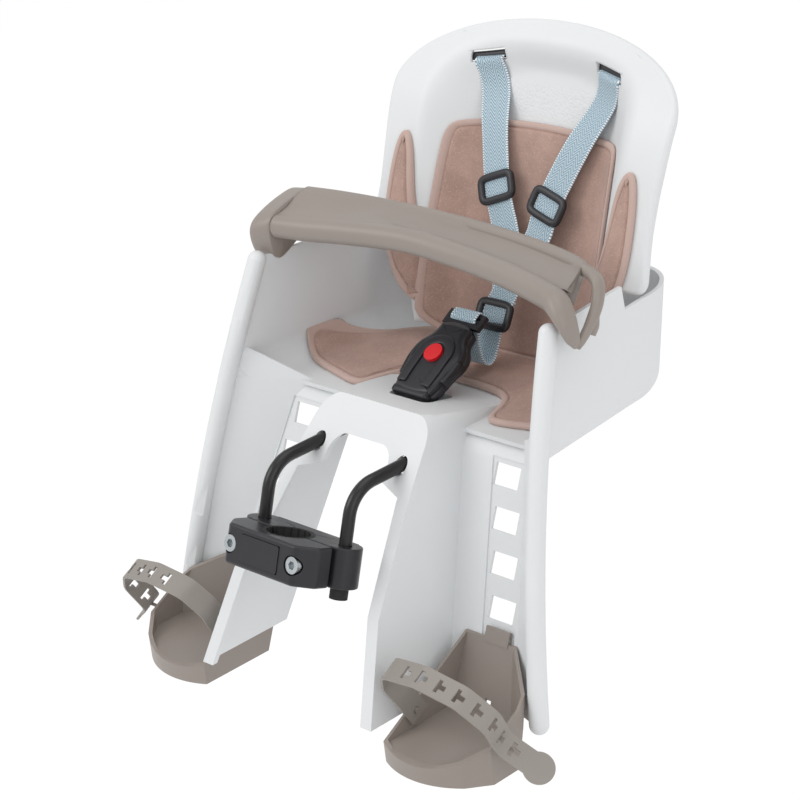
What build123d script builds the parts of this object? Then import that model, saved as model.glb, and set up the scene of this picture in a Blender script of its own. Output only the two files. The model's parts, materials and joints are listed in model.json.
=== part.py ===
from build123d import *
import math
import os

# Front-mounted child bike seat. Millimetres. Seen from the front, +X points to the right, +Y points
# back towards the rider and +Z is up. The origin is the centre of the clamp bore that grips the
# bicycle's head tube, and the seat stands at the attitude it has on the bicycle.

os.makedirs("parts", exist_ok=True)

# Shell walls and clearances
shell_wall = 3.5
fit_gap = 0.3

# Lower shell seen from the side: leg back, pan and bucket back
leg_bottom_z = -112.0
leg_slope = 0.45
leg_back_y0 = 111.0
pan_z = 62.0
pan_back_y = 284.0
back_slope = 0.36
wall_top_z = 160.0
pan_front_radius = 30.0
bucket_edge_radius = 24.0
bucket_corner_radius = 46.0

# Lower shell seen from the front
strip_edge_x0 = 138.0
strip_edge_splay = 0.23
inner_wall_x0 = 73.0
inner_wall_splay = 0.2
bucket_top_half_width = 137.0

# Rolled front edge of each side wall: a circle arc through three points
roll_radius = 7.5
roll_top = Vector(158.5, 140.0, 158.0)
roll_mid = Vector(179.5, 82.0, 8.0)
roll_bottom = Vector(197.0, 51.0, -108.0)

# Saddle over the top tube, seen from the side
saddle_top_z = 79.0
saddle_corner_radius = 20.0
saddle_rear_y = 196.0
front_edge = [(112.0, 79.0), (66.0, 29.0), (11.5, -40.0), (-22.0, -112.0)]

# Apron opening between and beside the rods
flange_width = 8.0
arch_half_width = 33.0
arch_top_z = 57.0
apron_bottom_z = 31.0

# Ladder of windows that the footrests hook into
window_width = 25.0
window_height = 17.0
window_pitch = 32.4
window_count = 5
window_first = 41.9
window_inset = 6.0
strip_recess = 1.2
strip_margin = 4.0

# Backrest shell: a tray whose lip lies in a plane that leans back
recline = 20.0
lip_y = 262.0
lip_z = 160.0
backrest_half_width = 148.0
backrest_top = 175.8
crown_rise = 67.4
crown_lean = 29.4
backrest_depth = 30.0
backrest_side_lip = 36.0
backrest_top_lip = 13.0
backrest_side_run = 38.0
backrest_top_run = 14.0
backrest_mouth_radius = 56.0
backrest_blend_radius = 22.0
ear_bottom = -18.0
tongue_half_width = 108.0
tongue_bottom = -80.0
ear_seat_y = 232.0
ear_seat_z = 142.0


def mirror_x(shape):
    return mirror(shape, about=Plane.YZ)


def leg_back_y(z):
    """Front face of the leg's back wall, which leans forward going down."""
    return leg_back_y0 + leg_slope * z


def inner_wall_x(z):
    """Outer face of the leg's inner wall, which splays going down."""
    return inner_wall_x0 - inner_wall_splay * z


def strip_edge_x(z):
    """Line where the leg's back wall turns into the flared outer wall."""
    return strip_edge_x0 - strip_edge_splay * z


roll_arc = ThreePointArc(roll_top, roll_mid, roll_bottom)


def roll_at(z):
    """Centre of the rolled edge at height z."""
    t = (roll_top.Z - z) / (roll_top.Z - roll_bottom.Z)
    t = min(max(t, 0.0), 1.0)
    return roll_arc @ t


def band(points, z, wall):
    """Closed outline of a wall of even thickness that follows points in the plane at height z."""
    path = Polyline(*[(x, y) for x, y in points])
    return Plane.XY.offset(z) * make_face(offset_band(path, wall))


def offset_band(path, wall):
    """Outline of a strip whose one side is the path and whose other side lies one wall behind it."""
    pts = [path @ 0] + [e @ 1 for e in path.edges()]
    out = []
    for i, p in enumerate(pts):
        before = (p - pts[i - 1]).normalized() if i > 0 else None
        after = (pts[i + 1] - p).normalized() if i < len(pts) - 1 else None
        along = before + after if before and after else (before or after)
        along = along.normalized()
        normal = Vector(along.Y, -along.X, 0)
        stretch = 1.0
        if before and after:
            stretch = 1.0 / max(0.5, normal.dot(Vector(before.Y, -before.X, 0)))
        out.append(p - normal * wall * stretch)
    return Polyline(*pts, *reversed(out), close=True)


def loft_bands(sections, wall):
    """Wall through several outlines that have the same corners at different heights."""
    faces = [band(points, z, wall) for z, points in sections]
    return loft(faces, ruled=True)


def bucket_block(grow, floor_z, radius, top_z):
    """Solid bucket with flat walls, rounded along its rear corners and its bottom edge."""
    side = bucket_side_plane(grow)
    block = Pos(0, 220.0, (floor_z + top_z) / 2.0) * Box(420.0, 420.0, top_z - floor_z)
    block = block.split(side, keep=Keep.BOTTOM)
    block = block.split(mirrored(side), keep=Keep.BOTTOM)
    rear = Plane(origin=(0, pan_back_y + grow, pan_z), x_dir=(1, 0, 0), z_dir=(0, 1, -back_slope))
    block = block.split(rear, keep=Keep.BOTTOM)
    corners = [e for e in block.edges() if (e @ 0.5).Y > pan_back_y - 20.0 and abs((e % 0.5).Z) > 0.8]
    block = fillet(corners, bucket_corner_radius + grow)
    bottom = block.faces().sort_by(Axis.Z)[0].edges()
    behind = [e for e in bottom if (e @ 0.5).Y > 15.0]
    return fillet(behind, radius)


def bucket_side_plane(grow):
    """Flat right side wall: it holds the rolled edge's line and the rear top corner."""
    a = roll_at(roll_top.Z - 4.0)
    b = roll_at(pan_z)
    c = Vector(bucket_top_half_width, pan_back_y + back_slope * (wall_top_z - pan_z), wall_top_z)
    normal = (b - a).cross(c - a).normalized()
    if normal.X < 0:
        normal = normal * -1.0
    return Plane(origin=a + normal * grow, z_dir=normal)


def mirrored(plane):
    o = plane.origin
    n = plane.z_dir
    return Plane(origin=(-o.X, o.Y, o.Z), z_dir=(-n.X, n.Y, n.Z))


def bucket():
    """Bucket walls and pan, open at the top and the front."""
    outer = bucket_block(0.0, pan_z - shell_wall, bucket_edge_radius, wall_top_z)
    inner = bucket_block(-shell_wall, pan_z, bucket_edge_radius - shell_wall, wall_top_z + 5.0)
    walls = outer - inner
    front_y = leg_back_y(pan_z)
    waist = strip_edge_x(pan_z)
    low = roll_at(pan_z - shell_wall)
    top = roll_at(wall_top_z)
    mouth = Polyline((waist, front_y), (low.X + 2.0, low.Y + 1.0), (low.X + 2.0, -50.0),
                     (-low.X - 2.0, -50.0), (-low.X - 2.0, low.Y + 1.0), (-waist, front_y), close=True)
    under = Pos(0, 0, pan_z - 20.0) * extrude(make_face(mouth), amount=50.0, dir=(0, 0, 1))
    lean = (top.Y - low.Y) / (wall_top_z - pan_z + shell_wall)
    ahead = side_view_prism([(low.Y - 20.0 * lean, pan_z - shell_wall - 20.0), (-100.0, 0.0),
                             (-100.0, 220.0), (top.Y + 20.0 * lean, wall_top_z + 20.0)], 300.0)
    ear_room = Pos(0, ear_seat_y + 200.0, ear_seat_z + 50.0) * Box(500.0, 400.0, 100.0)
    return walls - ahead - under - ear_room


def right_roll():
    """Rolled edge: a tube along the front of the side wall, rounded at both ends."""
    ring = Plane(origin=roll_arc @ 0, z_dir=roll_arc % 0) * Circle(roll_radius)
    rod = sweep(ring, path=Wire([roll_arc]))
    return rod + Pos(*(roll_arc @ 1)) * Sphere(roll_radius) + Pos(*(roll_arc @ 0)) * Sphere(roll_radius)


def front_view_prism(points, y0, y1):
    """Prism along Y whose outline is given by points (x, z)."""
    face = make_face(Polyline(*[(x, 0, z) for x, z in points], close=True))
    return Pos(0, y0, 0) * extrude(face, amount=y1 - y0, dir=(0, 1, 0))


def side_view_prism(points, half_x):
    """Prism along X whose outline is given by points (y, z)."""
    face = make_face(Polyline(*[(0, y, z) for y, z in points], close=True))
    return Pos(-half_x, 0, 0) * extrude(face, amount=2.0 * half_x, dir=(1, 0, 0))


def leg_back():
    """Back wall of the right leg, rounded where it turns into the pan."""
    foot = (0, leg_back_y(leg_bottom_z), leg_bottom_z)
    front = (0, leg_back_y(pan_z), pan_z)
    rear = (0, leg_back_y(pan_z) + 60.0, pan_z)
    line = FilletPolyline(foot, front, rear, radius=pan_front_radius)
    sheet = make_face(line + offset_line(line))
    slab = Pos(-200, 0, 0) * extrude(sheet, amount=400.0, dir=(1, 0, 0))
    top = pan_z + 5.0
    low = leg_bottom_z - 5.0
    strip = [(inner_wall_x(top) - 2.0, top), (inner_wall_x(low) - 2.0, low), (strip_edge_x(low), low),
             (strip_edge_x(top), top)]
    return slab & front_view_prism(strip, 0.0, 400.0)


def offset_line(line):
    """The same side line one wall further back and down, joined to it at both ends."""
    a = math.atan(leg_slope)
    dy = shell_wall * math.cos(a)
    dz = -shell_wall * math.sin(a)
    shift = shell_wall * (math.cos(a) + (math.sin(a) - 1.0) * leg_slope)
    foot = (0, leg_back_y(leg_bottom_z) + dy, leg_bottom_z + dz)
    front = (0, leg_back_y(pan_z - shell_wall) + shell_wall / math.cos(a), pan_z - shell_wall)
    rear = (0, leg_back_y(pan_z) + 60.0, pan_z - shell_wall)
    back = FilletPolyline(foot, front, rear, radius=pan_front_radius - shell_wall)
    return back + Line(line @ 0, back @ 0) + Line(line @ 1, back @ 1)


def leg_wing():
    """Flared outer wall of the right leg, from the ladder strip to the rolled edge."""
    sections = []
    for z, reach in ((leg_bottom_z, 3.0), (-20.0, 3.0), (25.0, 3.0), (pan_z, 9.0)):
        r = roll_at(z)
        inner = Vector(strip_edge_x(z), leg_back_y(z))
        outer = Vector(r.X, r.Y)
        inner = inner + (inner - outer).normalized() * reach
        sections.append((z, [(inner.X, inner.Y), (outer.X, outer.Y)]))
    wing = loft_bands(sections, shell_wall)
    brow_z = pan_z + bucket_edge_radius + 3.0
    r = roll_at(brow_z)
    brow = [(brow_z, [(r.X - 5.0, r.Y + 9.0), (r.X, r.Y)])]
    return wing + loft_bands(sections[-1:] + brow, shell_wall)


def saddle_outline(grow):
    """Front view of the saddle: straight flanks that splay going down, rounded shoulders."""
    low = leg_bottom_z
    top = saddle_top_z + grow
    pts = [(inner_wall_x(low) + grow, low), (inner_wall_x(top) + grow, top),
           (-inner_wall_x(top) - grow, top), (-inner_wall_x(low) - grow, low)]
    face = make_face(Polyline(*[(x, 0, z) for x, z in pts], close=True))
    shoulders = face.vertices().sort_by(Axis.Z)[-2:]
    return fillet(shoulders, saddle_corner_radius + grow)


def saddle_block(grow, rear_points, ahead=0.0):
    """Solid saddle: its front view swept back, cut to its side view."""
    body = Pos(0, -60.0, 0) * extrude(saddle_outline(grow), amount=460.0, dir=(0, 1, 0))
    front = [(y + ahead, min(z, saddle_top_z + grow)) for y, z in front_edge]
    side = side_view_prism(list(reversed(front)) + rear_points, 200.0)
    return body & side


def saddle():
    """Saddle and the legs' inner walls: one wall thick, open below and behind."""
    back = shell_wall * 0.9
    low = leg_bottom_z
    rear = [(saddle_rear_y, pan_z), (leg_back_y(pan_z) + back, pan_z - shell_wall),
            (leg_back_y(low) + back, low)]
    return saddle_block(0.0, rear)


pocket_half = 22.0
pocket_y0 = 138.0
pocket_y1 = 170.0
pocket_floor = 61.5


def buckle_pocket(grow):
    """Pocket on top of the saddle that the buckle's lower end sits in."""
    box = Box(2.0 * (pocket_half + grow), pocket_y1 - pocket_y0 + 2.0 * grow, 60.0)
    box = fillet(box.edges().filter_by(Axis.Z), 7.0 + grow)
    return Pos(0, (pocket_y0 + pocket_y1) / 2.0, pocket_floor - grow + 30.0) * box


def saddle_with_pocket():
    """Saddle wall with the pocket's own walls under it."""
    low = leg_bottom_z
    rear = [(saddle_rear_y, pan_z), (saddle_rear_y, pan_z - 40.0), (leg_back_y(low), low)]
    return (saddle() - tunnel()) + (buckle_pocket(shell_wall) & saddle_block(0.0, rear))


def crotch_slot():
    """Slot in the pocket's floor for the crotch strap."""
    return Pos(0, crotch_strap_y, pocket_floor) * Box(webbing_width + 2.0, 4.0, 20.0)


webbing_width = 25.0
webbing_wall = 1.8
crotch_strap_y = 154.0


def tunnel():
    """Room for the bicycle's top tube, under the saddle."""
    under = pan_z - shell_wall
    rear = [(saddle_rear_y, under), (390.0, under), (390.0, leg_bottom_z)]
    inner = saddle_block(-shell_wall, rear, ahead=shell_wall * 1.4)
    low = leg_bottom_z - 10.0
    flange_low = inner_wall_x(low) - shell_wall - flange_width
    flange_top = inner_wall_x(apron_bottom_z) - shell_wall - flange_width
    outline = [(flange_low, low), (flange_top, apron_bottom_z), (arch_half_width, apron_bottom_z + 6.0),
               (arch_half_width, arch_top_z), (-arch_half_width, arch_top_z),
               (-arch_half_width, apron_bottom_z + 6.0), (-flange_top, apron_bottom_z), (-flange_low, low)]
    mouth = front_view_prism(outline, -60.0, 140.0)
    corners = mouth.edges().filter_by(Axis.Y).sort_by(Axis.Z)[-2:]
    return inner + fillet(corners, 14.0)


leg_normal = Vector(0, -1, leg_slope).normalized()
leg_up = Vector(0, leg_slope, 1).normalized()
leg_plane = Plane(origin=(0, leg_back_y0, 0), x_dir=(1, 0, 0), z_dir=leg_normal)


def window_centre(k):
    """Centre of window k of the right leg's ladder, in the leg plane."""
    w = window_first - k * window_pitch
    z = w * leg_up.Z
    return strip_edge_x(z) - window_inset - window_width / 2.0, w


def ladder_cut():
    """Shallow strip and its windows, cut into the back wall of the right leg."""
    cut = None
    for k in range(window_count):
        x, w = window_centre(k)
        hole = leg_plane * Pos(x, w, 0) * Box(window_width, window_height, 14.0)
        cut = hole if cut is None else cut + hole
    x0, w0 = window_centre(0)
    x1, w1 = window_centre(window_count - 1)
    half = window_width / 2.0 + strip_margin
    ends = window_height / 2.0 + strip_margin
    strip = Polyline((x0 - half, w0 + ends), (x0 + half, w0 + ends), (x1 + half, w1 - ends),
                     (x1 - half, w1 - ends), close=True)
    recess = extrude(leg_plane * Pos(0, 0, -strip_recess) * make_face(strip), amount=10.0,
                     dir=leg_normal)
    return cut + recess


def lower_shell():
    leg = leg_back() + leg_wing()
    leg = leg - ladder_cut()
    leg = leg + right_roll()
    shell = bucket() + leg + mirror_x(leg) - tunnel() + saddle_with_pocket() + rod_seat()
    shell = shell - buckle_pocket(0.0) - crotch_slot() - apron_holes() - rod_seat_holes()
    for x in (-rest_screw_x, rest_screw_x):
        shell -= rest_cylinder(x, rest_screw_w, rest_screw_radius, 20.0, 90.0)
    return shell



# Backrest shell


rest_up = Vector(0, math.sin(math.radians(recline)), math.cos(math.radians(recline)))
rest_front = Vector(0, -math.cos(math.radians(recline)), math.sin(math.radians(recline)))
rest_plane = Plane(origin=(0, lip_y, lip_z), x_dir=(1, 0, 0), z_dir=rest_front)


def rounded_arch(half, top, bottom, radius):
    """Outline in the backrest plane: straight sides, rounded top corners, open-ended bottom."""
    face = make_face(Polyline((-half, bottom), (half, bottom), (half, top), (-half, top), close=True))
    return fillet(face.vertices().sort_by(Axis.Y)[-2:], radius)


def tray_block(grow):
    """Hollow of the backrest, as a solid that reaches from in front of the lip to its floor."""
    half = backrest_half_width - backrest_side_lip
    top = backrest_top - backrest_top_lip
    bottom = tongue_bottom - 60.0
    ahead = 20.0
    wide = half + ahead * backrest_side_run / backrest_depth
    high = top + ahead * backrest_top_run / backrest_depth
    mouth = rounded_arch(wide + grow, high + grow, bottom, backrest_mouth_radius + 10.0)
    low = half - backrest_side_run
    floor = rounded_arch(low + grow, top - backrest_top_run + grow, bottom, backrest_mouth_radius - 22.0)
    depth = backrest_depth + grow * 0.7
    block = loft([rest_plane * Pos(0, 0, -depth) * floor, rest_plane * Pos(0, 0, ahead) * mouth], ruled=True)
    floor_face = sorted(block.faces(), key=lambda f: (f.center() - rest_plane.origin).dot(rest_front))[0]
    blend = [e for e in floor_face.edges() if rest_plane.to_local_coords(e @ 0.5).Y > bottom + 5.0]
    return fillet(blend, backrest_blend_radius + grow)


def rest_prism(points, near, far):
    """Prism square to the backrest plane, from depth near to depth far behind the lip plane."""
    face = rest_plane * Pos(0, 0, -far) * make_face(Polyline(*points, close=True))
    return extrude(face, amount=far - near, dir=rest_front)


def leaning_band(near, far):
    """Slab along the lip's surface between two depths: upright, then leaning back at the crown."""
    wide = 300.0
    spring = backrest_top - crown_rise
    slope = crown_lean / crown_rise
    rise = wide - spring
    side = Polyline((-wide, near), (spring, near), (wide, near + slope * rise),
                    (wide, far + slope * rise), (spring, far), (-wide, far), close=True)
    across_plane = Plane(origin=rest_plane.origin - Vector(wide, 0, 0), x_dir=rest_up, z_dir=(1, 0, 0))
    flip = 1.0 if across_plane.y_dir.dot(rest_front) < 0 else -1.0
    pts = [(v.X, v.Y * flip) for v in side.vertices()]
    return extrude(across_plane * make_face(Polyline(*pts, close=True)), amount=2.0 * wide, dir=(1, 0, 0))


def rest_outline_prism(near, far):
    """Front view of the backrest shell: arch above the ears, narrower tongue below them."""
    half = backrest_half_width
    spring = backrest_top - crown_rise
    arch = (Pos(0, spring) * Ellipse(half, crown_rise)
            + Pos(0, (spring + ear_bottom) / 2.0) * Rectangle(2.0 * half, spring - ear_bottom)
            - Pos(0, ear_bottom - half) * Rectangle(4.0 * half, 2.0 * half))
    arch = extrude(rest_plane * Pos(0, 0, -far) * arch, amount=far - near, dir=rest_front)
    w = tongue_half_width
    tongue = [(-w, ear_bottom + 5.0), (-w + 14.0, tongue_bottom), (w - 14.0, tongue_bottom),
              (w, ear_bottom + 5.0)]
    return arch + rest_prism(tongue, near, far)


def slot_cutter(side):
    """Slot through the backrest that a shoulder strap passes through."""
    return (rest_plane * Pos(side * strap_slot_x, strap_slot_w, -backrest_depth)
            * Box(strap_slot_width, strap_slot_height, 60.0))


strap_slot_x = 64.0
strap_slot_w = 141.0
strap_slot_width = 31.0
strap_slot_height = 9.0
rest_screw_x = 46.0
rest_screw_w = -58.0
rest_boss_radius = 8.0
rest_screw_radius = 2.5


def rest_spot(x, w, depth):
    """Point given in the backrest plane by width, height and depth behind the lip."""
    return rest_plane.from_local_coords(Vector(x, w, -depth))


def rest_cylinder(x, w, radius, near, far):
    """Cylinder square to the backrest plane, between two depths."""
    return rest_plane * Pos(x, w, -(near + far) / 2.0) * Cylinder(radius, far - near)


def rest_bosses():
    """Bosses behind the tongue that stand against the bucket's rear wall."""
    room = bucket_block(-shell_wall - fit_gap, pan_z, bucket_edge_radius - shell_wall, wall_top_z + 5.0)
    bosses = None
    for x in (-rest_screw_x, rest_screw_x):
        boss = rest_cylinder(x, rest_screw_w, rest_boss_radius, backrest_depth + 1.0, 80.0)
        boss -= rest_cylinder(x, rest_screw_w, rest_screw_radius, backrest_depth + 6.0, 90.0)
        bosses = boss if bosses is None else bosses + boss
    return bosses & room


def rest_screws():
    """Screws through the bucket's rear wall into the bosses."""
    screws = []
    for x in (-rest_screw_x, rest_screw_x):
        face = rest_screw_depth()
        shank = rest_cylinder(x, rest_screw_w, rest_screw_radius, backrest_depth + 8.0, face)
        head = rest_cylinder(x, rest_screw_w, 5.0, face, face + 3.0)
        screws.append(shank + head)
    return Compound(children=screws)


def rest_screw_depth():
    """Depth at which the bucket's rear face is fully clear of a screw head."""
    axis = rest_spot(rest_screw_x, rest_screw_w, 0.0)
    run = Vector(0, 1.0, -back_slope)
    gap = pan_back_y - (axis.Y - back_slope * (axis.Z - pan_z))
    return gap / (rest_front * -1.0).dot(run) + 1.0


def backrest_shell():
    """Backrest tray with a flat lip; the tongue below the ears fits into the bucket."""
    outer = tray_block(shell_wall)
    inner = tray_block(0.0)
    behind = leaning_band(0.0, 120.0)
    lip = leaning_band(0.0, shell_wall)
    walls = (outer & behind) + lip - inner
    shell = walls & rest_outline_prism(-5.0, 120.0)
    shell = shell - slot_cutter(1) - slot_cutter(-1)
    return shell + rest_bosses()



# Clamp bracket: its plane leans with the head tube


head_tube_lean = 20.0
bore_radius = 17.0
liner_wall = 3.0
bracket_height = 31.0
bracket_gap = 2.0
front_half_x = 49.0
front_face_y = -27.0
rear_face_y = 31.0
rod_x = 45.0
rod_y = 16.0
rod_radius = 5.0
rod_run_z = 48.5
rod_bend_radius = 28.0
rod_end_drop = 22.0
rod_rear_y = 258.0
bolt_x = 34.5
bolt_radius = 4.0
bolt_head_radius = 6.5
bolt_head_height = 8.0
bolt_tip_y = 30.0
nut_width = 13.0
nut_height = 6.5
plate_width = 41.0
plate_height = 21.0

lean = math.radians(head_tube_lean)
stem_plane = Plane(origin=(0, 0, 0), x_dir=(1, 0, 0), z_dir=(0, math.sin(lean), math.cos(lean)))


def stem_cylinder(x, y, radius, low, high):
    return stem_plane * Pos(x, y, (low + high) / 2.0) * Cylinder(radius, high - low)


def across(x, radius, y0, y1, z=0.0):
    """Cylinder square to the front face of the bracket."""
    return stem_plane * Pos(x, (y0 + y1) / 2.0, z) * Rot(90, 0, 0) * Cylinder(radius, y1 - y0)


def bracket_front():
    """Front half of the clamp, with counterbores for the bolts and a recess for its plate."""
    h = bracket_height
    w = front_half_x
    outline = Polyline((-w, -bracket_gap / 2.0), (-w, -13.0), (-w + 12.0, front_face_y),
                       (w - 12.0, front_face_y), (w, -13.0), (w, -bracket_gap / 2.0), close=True)
    face = make_face(outline)
    face = fillet(face.vertices().sort_by(Axis.Y)[:4], 7.0)
    body = stem_plane * Pos(0, 0, -h / 2.0) * extrude(face, amount=h)
    body = fillet(body.edges().filter_by(lambda e: abs((e @ 0.5).dot(stem_plane.z_dir)) > h / 2.0 - 0.1
                                         and stem_plane.to_local_coords(e @ 0.5).Y < -2.0), 2.5)
    body -= stem_cylinder(0, 0, bore_radius + liner_wall, -h, h)
    for x in (-bolt_x, bolt_x):
        body -= across(x, bolt_radius, -40.0, 5.0)
        body -= across(x, bolt_head_radius + 1.0, -40.0, front_face_y + bolt_head_height + 1.0)
    pocket = Box(plate_width + 2.0 * fit_gap, 4.0, plate_height + 2.0 * fit_gap)
    return body - stem_plane * Pos(0, front_face_y, 0) * pocket


def bracket_rear():
    """Rear half of the clamp, with a round lobe about each rod."""
    h = bracket_height
    lobe = rod_radius + 8.5
    face = Pos(0, (bracket_gap / 2.0 + rear_face_y) / 2.0) * Rectangle(
        2.0 * rod_x, rear_face_y - bracket_gap / 2.0)
    for x in (-rod_x, rod_x):
        face += Pos(x, rod_y) * Circle(lobe)
    body = stem_plane * Pos(0, 0, -h / 2.0) * extrude(face, amount=h)
    body -= stem_cylinder(0, 0, bore_radius + liner_wall, -h, h)
    for x in (-rod_x, rod_x):
        body -= stem_cylinder(x, rod_y, rod_radius, -h, h)
    for x in (-bolt_x, bolt_x):
        body -= across(x, bolt_radius, -5.0, 40.0)
        body -= nut_prism(x, 0.2)
    return body


def nut_prism(x, grow):
    """Hexagonal nut, let into the rear face of the clamp."""
    hexagon = RegularPolygon((nut_width + grow) / math.sqrt(3.0), 6)
    depth = nut_height + grow
    return (stem_plane * Pos(x, rear_face_y - depth, 0) * Rot(-90, 0, 0) * extrude(hexagon, amount=depth))


def clamp_nuts():
    nuts = [nut_prism(x, 0.0) - across(x, bolt_radius, -5.0, 40.0) for x in (-bolt_x, bolt_x)]
    return Compound(children=nuts)


def clamp_bolts():
    """Two socket-head cap screws that pull the clamp halves together."""
    bolts = []
    head_y = front_face_y + bolt_head_height + 1.0
    for x in (-bolt_x, bolt_x):
        head = across(x, bolt_head_radius, head_y - bolt_head_height, head_y)
        socket = stem_plane * Pos(x, head_y - bolt_head_height, 0) * Rot(-90, 0, 0) * extrude(
            RegularPolygon(3.4, 6), amount=4.5)
        shank = across(x, bolt_radius, head_y, bolt_tip_y)
        bolts.append((head + shank) - socket)
    return Compound(children=bolts)


def bracket_plate():
    """Blank plate let into the front of the bracket."""
    plate = Box(plate_width, 2.6, plate_height)
    plate = fillet(plate.edges().filter_by(Axis.Y), 2.0)
    return stem_plane * Pos(0, front_face_y + 0.7, 0) * plate


def clamp_liner(side):
    """Half of the ribbed rubber liner between the clamp and the head tube."""
    h = bracket_height
    ring = stem_cylinder(0, 0, bore_radius + liner_wall, -h / 2.0, h / 2.0)
    ring -= stem_cylinder(0, 0, bore_radius, -h, h)
    for k in range(9):
        a = math.radians(20.0 * k + 10.0)
        groove = stem_cylinder(bore_radius * math.cos(a), side * bore_radius * math.sin(a), 0.9, -h, h)
        ring -= groove
    half = stem_plane * Pos(0, side * (40.0 + bracket_gap / 2.0), 0) * Box(80.0, 80.0, 80.0)
    return ring & half


def rod_corner(x):
    """Where the straight rod through the clamp meets its level run under the pan."""
    foot = stem_plane.from_local_coords(Vector(x, rod_y, 0))
    t = (rod_run_z - foot.Z) / math.cos(lean)
    return foot + Vector(0, math.sin(lean), math.cos(lean)) * t


def support_rod():
    """One steel rod: up from the clamp, back under the pan, across and down the other side."""
    start = stem_plane.from_local_coords(Vector(-rod_x, rod_y, -rod_end_drop))
    end = stem_plane.from_local_coords(Vector(rod_x, rod_y, -rod_end_drop))
    path = FilletPolyline(start, rod_corner(-rod_x), (-rod_x, rod_rear_y, rod_run_z),
                          (rod_x, rod_rear_y, rod_run_z), rod_corner(rod_x), end,
                          radius=rod_bend_radius)
    section = Plane(origin=path @ 0, z_dir=path % 0) * Circle(rod_radius)
    return sweep(section, path=path)


def rod_caps():
    """Rubber end caps on the rods, under the clamp."""
    caps = []
    for x in (-rod_x, rod_x):
        cap = stem_cylinder(x, rod_y, rod_radius + 2.0, -rod_end_drop - 3.0, -bracket_height / 2.0 - 1.0)
        caps.append(cap - stem_cylinder(x, rod_y, rod_radius, -rod_end_drop, 0.0))
    return Compound(children=caps)


# Rod clamp under the pan
rod_seat_y0 = 202.0
rod_seat_y1 = 226.0
rod_seat_half = 54.0
rod_plate_wall = 7.0
clamp_screw_x = 32.0
clamp_screw_radius = 2.5


def rod_pair(grow):
    rods = None
    for x in (-rod_x, rod_x):
        rod = Pos(x, (rod_seat_y0 + rod_seat_y1) / 2.0, rod_run_z) * Rot(90, 0, 0) * Cylinder(
            rod_radius + grow, 80.0)
        rods = rod if rods is None else rods + rod
    return rods


def rod_seat():
    """Block moulded under the pan, grooved for the two rods."""
    mid = (rod_seat_y0 + rod_seat_y1) / 2.0
    low = rod_run_z + 0.4
    high = pan_z - shell_wall / 2.0
    block = Pos(0, mid, (low + high) / 2.0) * Box(2.0 * rod_seat_half, rod_seat_y1 - rod_seat_y0, high - low)
    return block - rod_pair(0.0)


def rod_clamp_plate():
    """Plate that holds the rods up against their seat."""
    mid = (rod_seat_y0 + rod_seat_y1) / 2.0
    high = rod_run_z - 0.4
    low = high - rod_plate_wall
    plate = Pos(0, mid, (low + high) / 2.0) * Box(2.0 * rod_seat_half, rod_seat_y1 - rod_seat_y0, high - low)
    plate = fillet(plate.edges().filter_by(Axis.Z), 4.0) - rod_pair(0.0)
    for x in (-clamp_screw_x, clamp_screw_x):
        plate -= Pos(x, mid, low) * Cylinder(clamp_screw_radius, 40.0)
    return plate


def rod_clamp_screws():
    mid = (rod_seat_y0 + rod_seat_y1) / 2.0
    low = rod_run_z - 0.4 - rod_plate_wall
    screws = []
    for x in (-clamp_screw_x, clamp_screw_x):
        head = Pos(x, mid, low - 1.5) * Cylinder(5.0, 3.0)
        shank = Pos(x, mid, low + 6.5) * Cylinder(clamp_screw_radius, 13.0)
        screws.append(head + shank - Pos(x, mid, low - 3.0) * Box(1.2, 7.0, 2.4))
    return Compound(children=screws)


def rod_seat_holes():
    mid = (rod_seat_y0 + rod_seat_y1) / 2.0
    low = rod_run_z - 0.4 - rod_plate_wall
    holes = [Pos(x, mid, low + 6.5) * Cylinder(clamp_screw_radius, 13.0)
             for x in (-clamp_screw_x, clamp_screw_x)]
    return holes[0] + holes[1]


def apron_holes():
    """Holes in the apron that the rods pass through."""
    holes = [Pos(x, 90.0, rod_run_z) * Rot(90, 0, 0) * Cylinder(rod_radius + 1.2, 60.0)
             for x in (-rod_x, rod_x)]
    return holes[0] + holes[1]


# Footrests
foot_wall = 2.5
foot_deck_z = -121.0
foot_skirt = 16.0
foot_back_z = -70.0
foot_inner_x = 102.2
foot_outer_x = 192.0
foot_front_y = -17.0
foot_bulge = 7.0
foot_clearance = 0.3
foot_strap_wall = 2.0
foot_strap_width = 19.0
roll_clearance = 0.8

ladder_dir = Vector(-strip_edge_splay, leg_slope, 1.0).normalized()
foot_slide_splay = 0.215
foot_slide_dir = Vector(-foot_slide_splay, leg_slope, 1.0).normalized()


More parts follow.
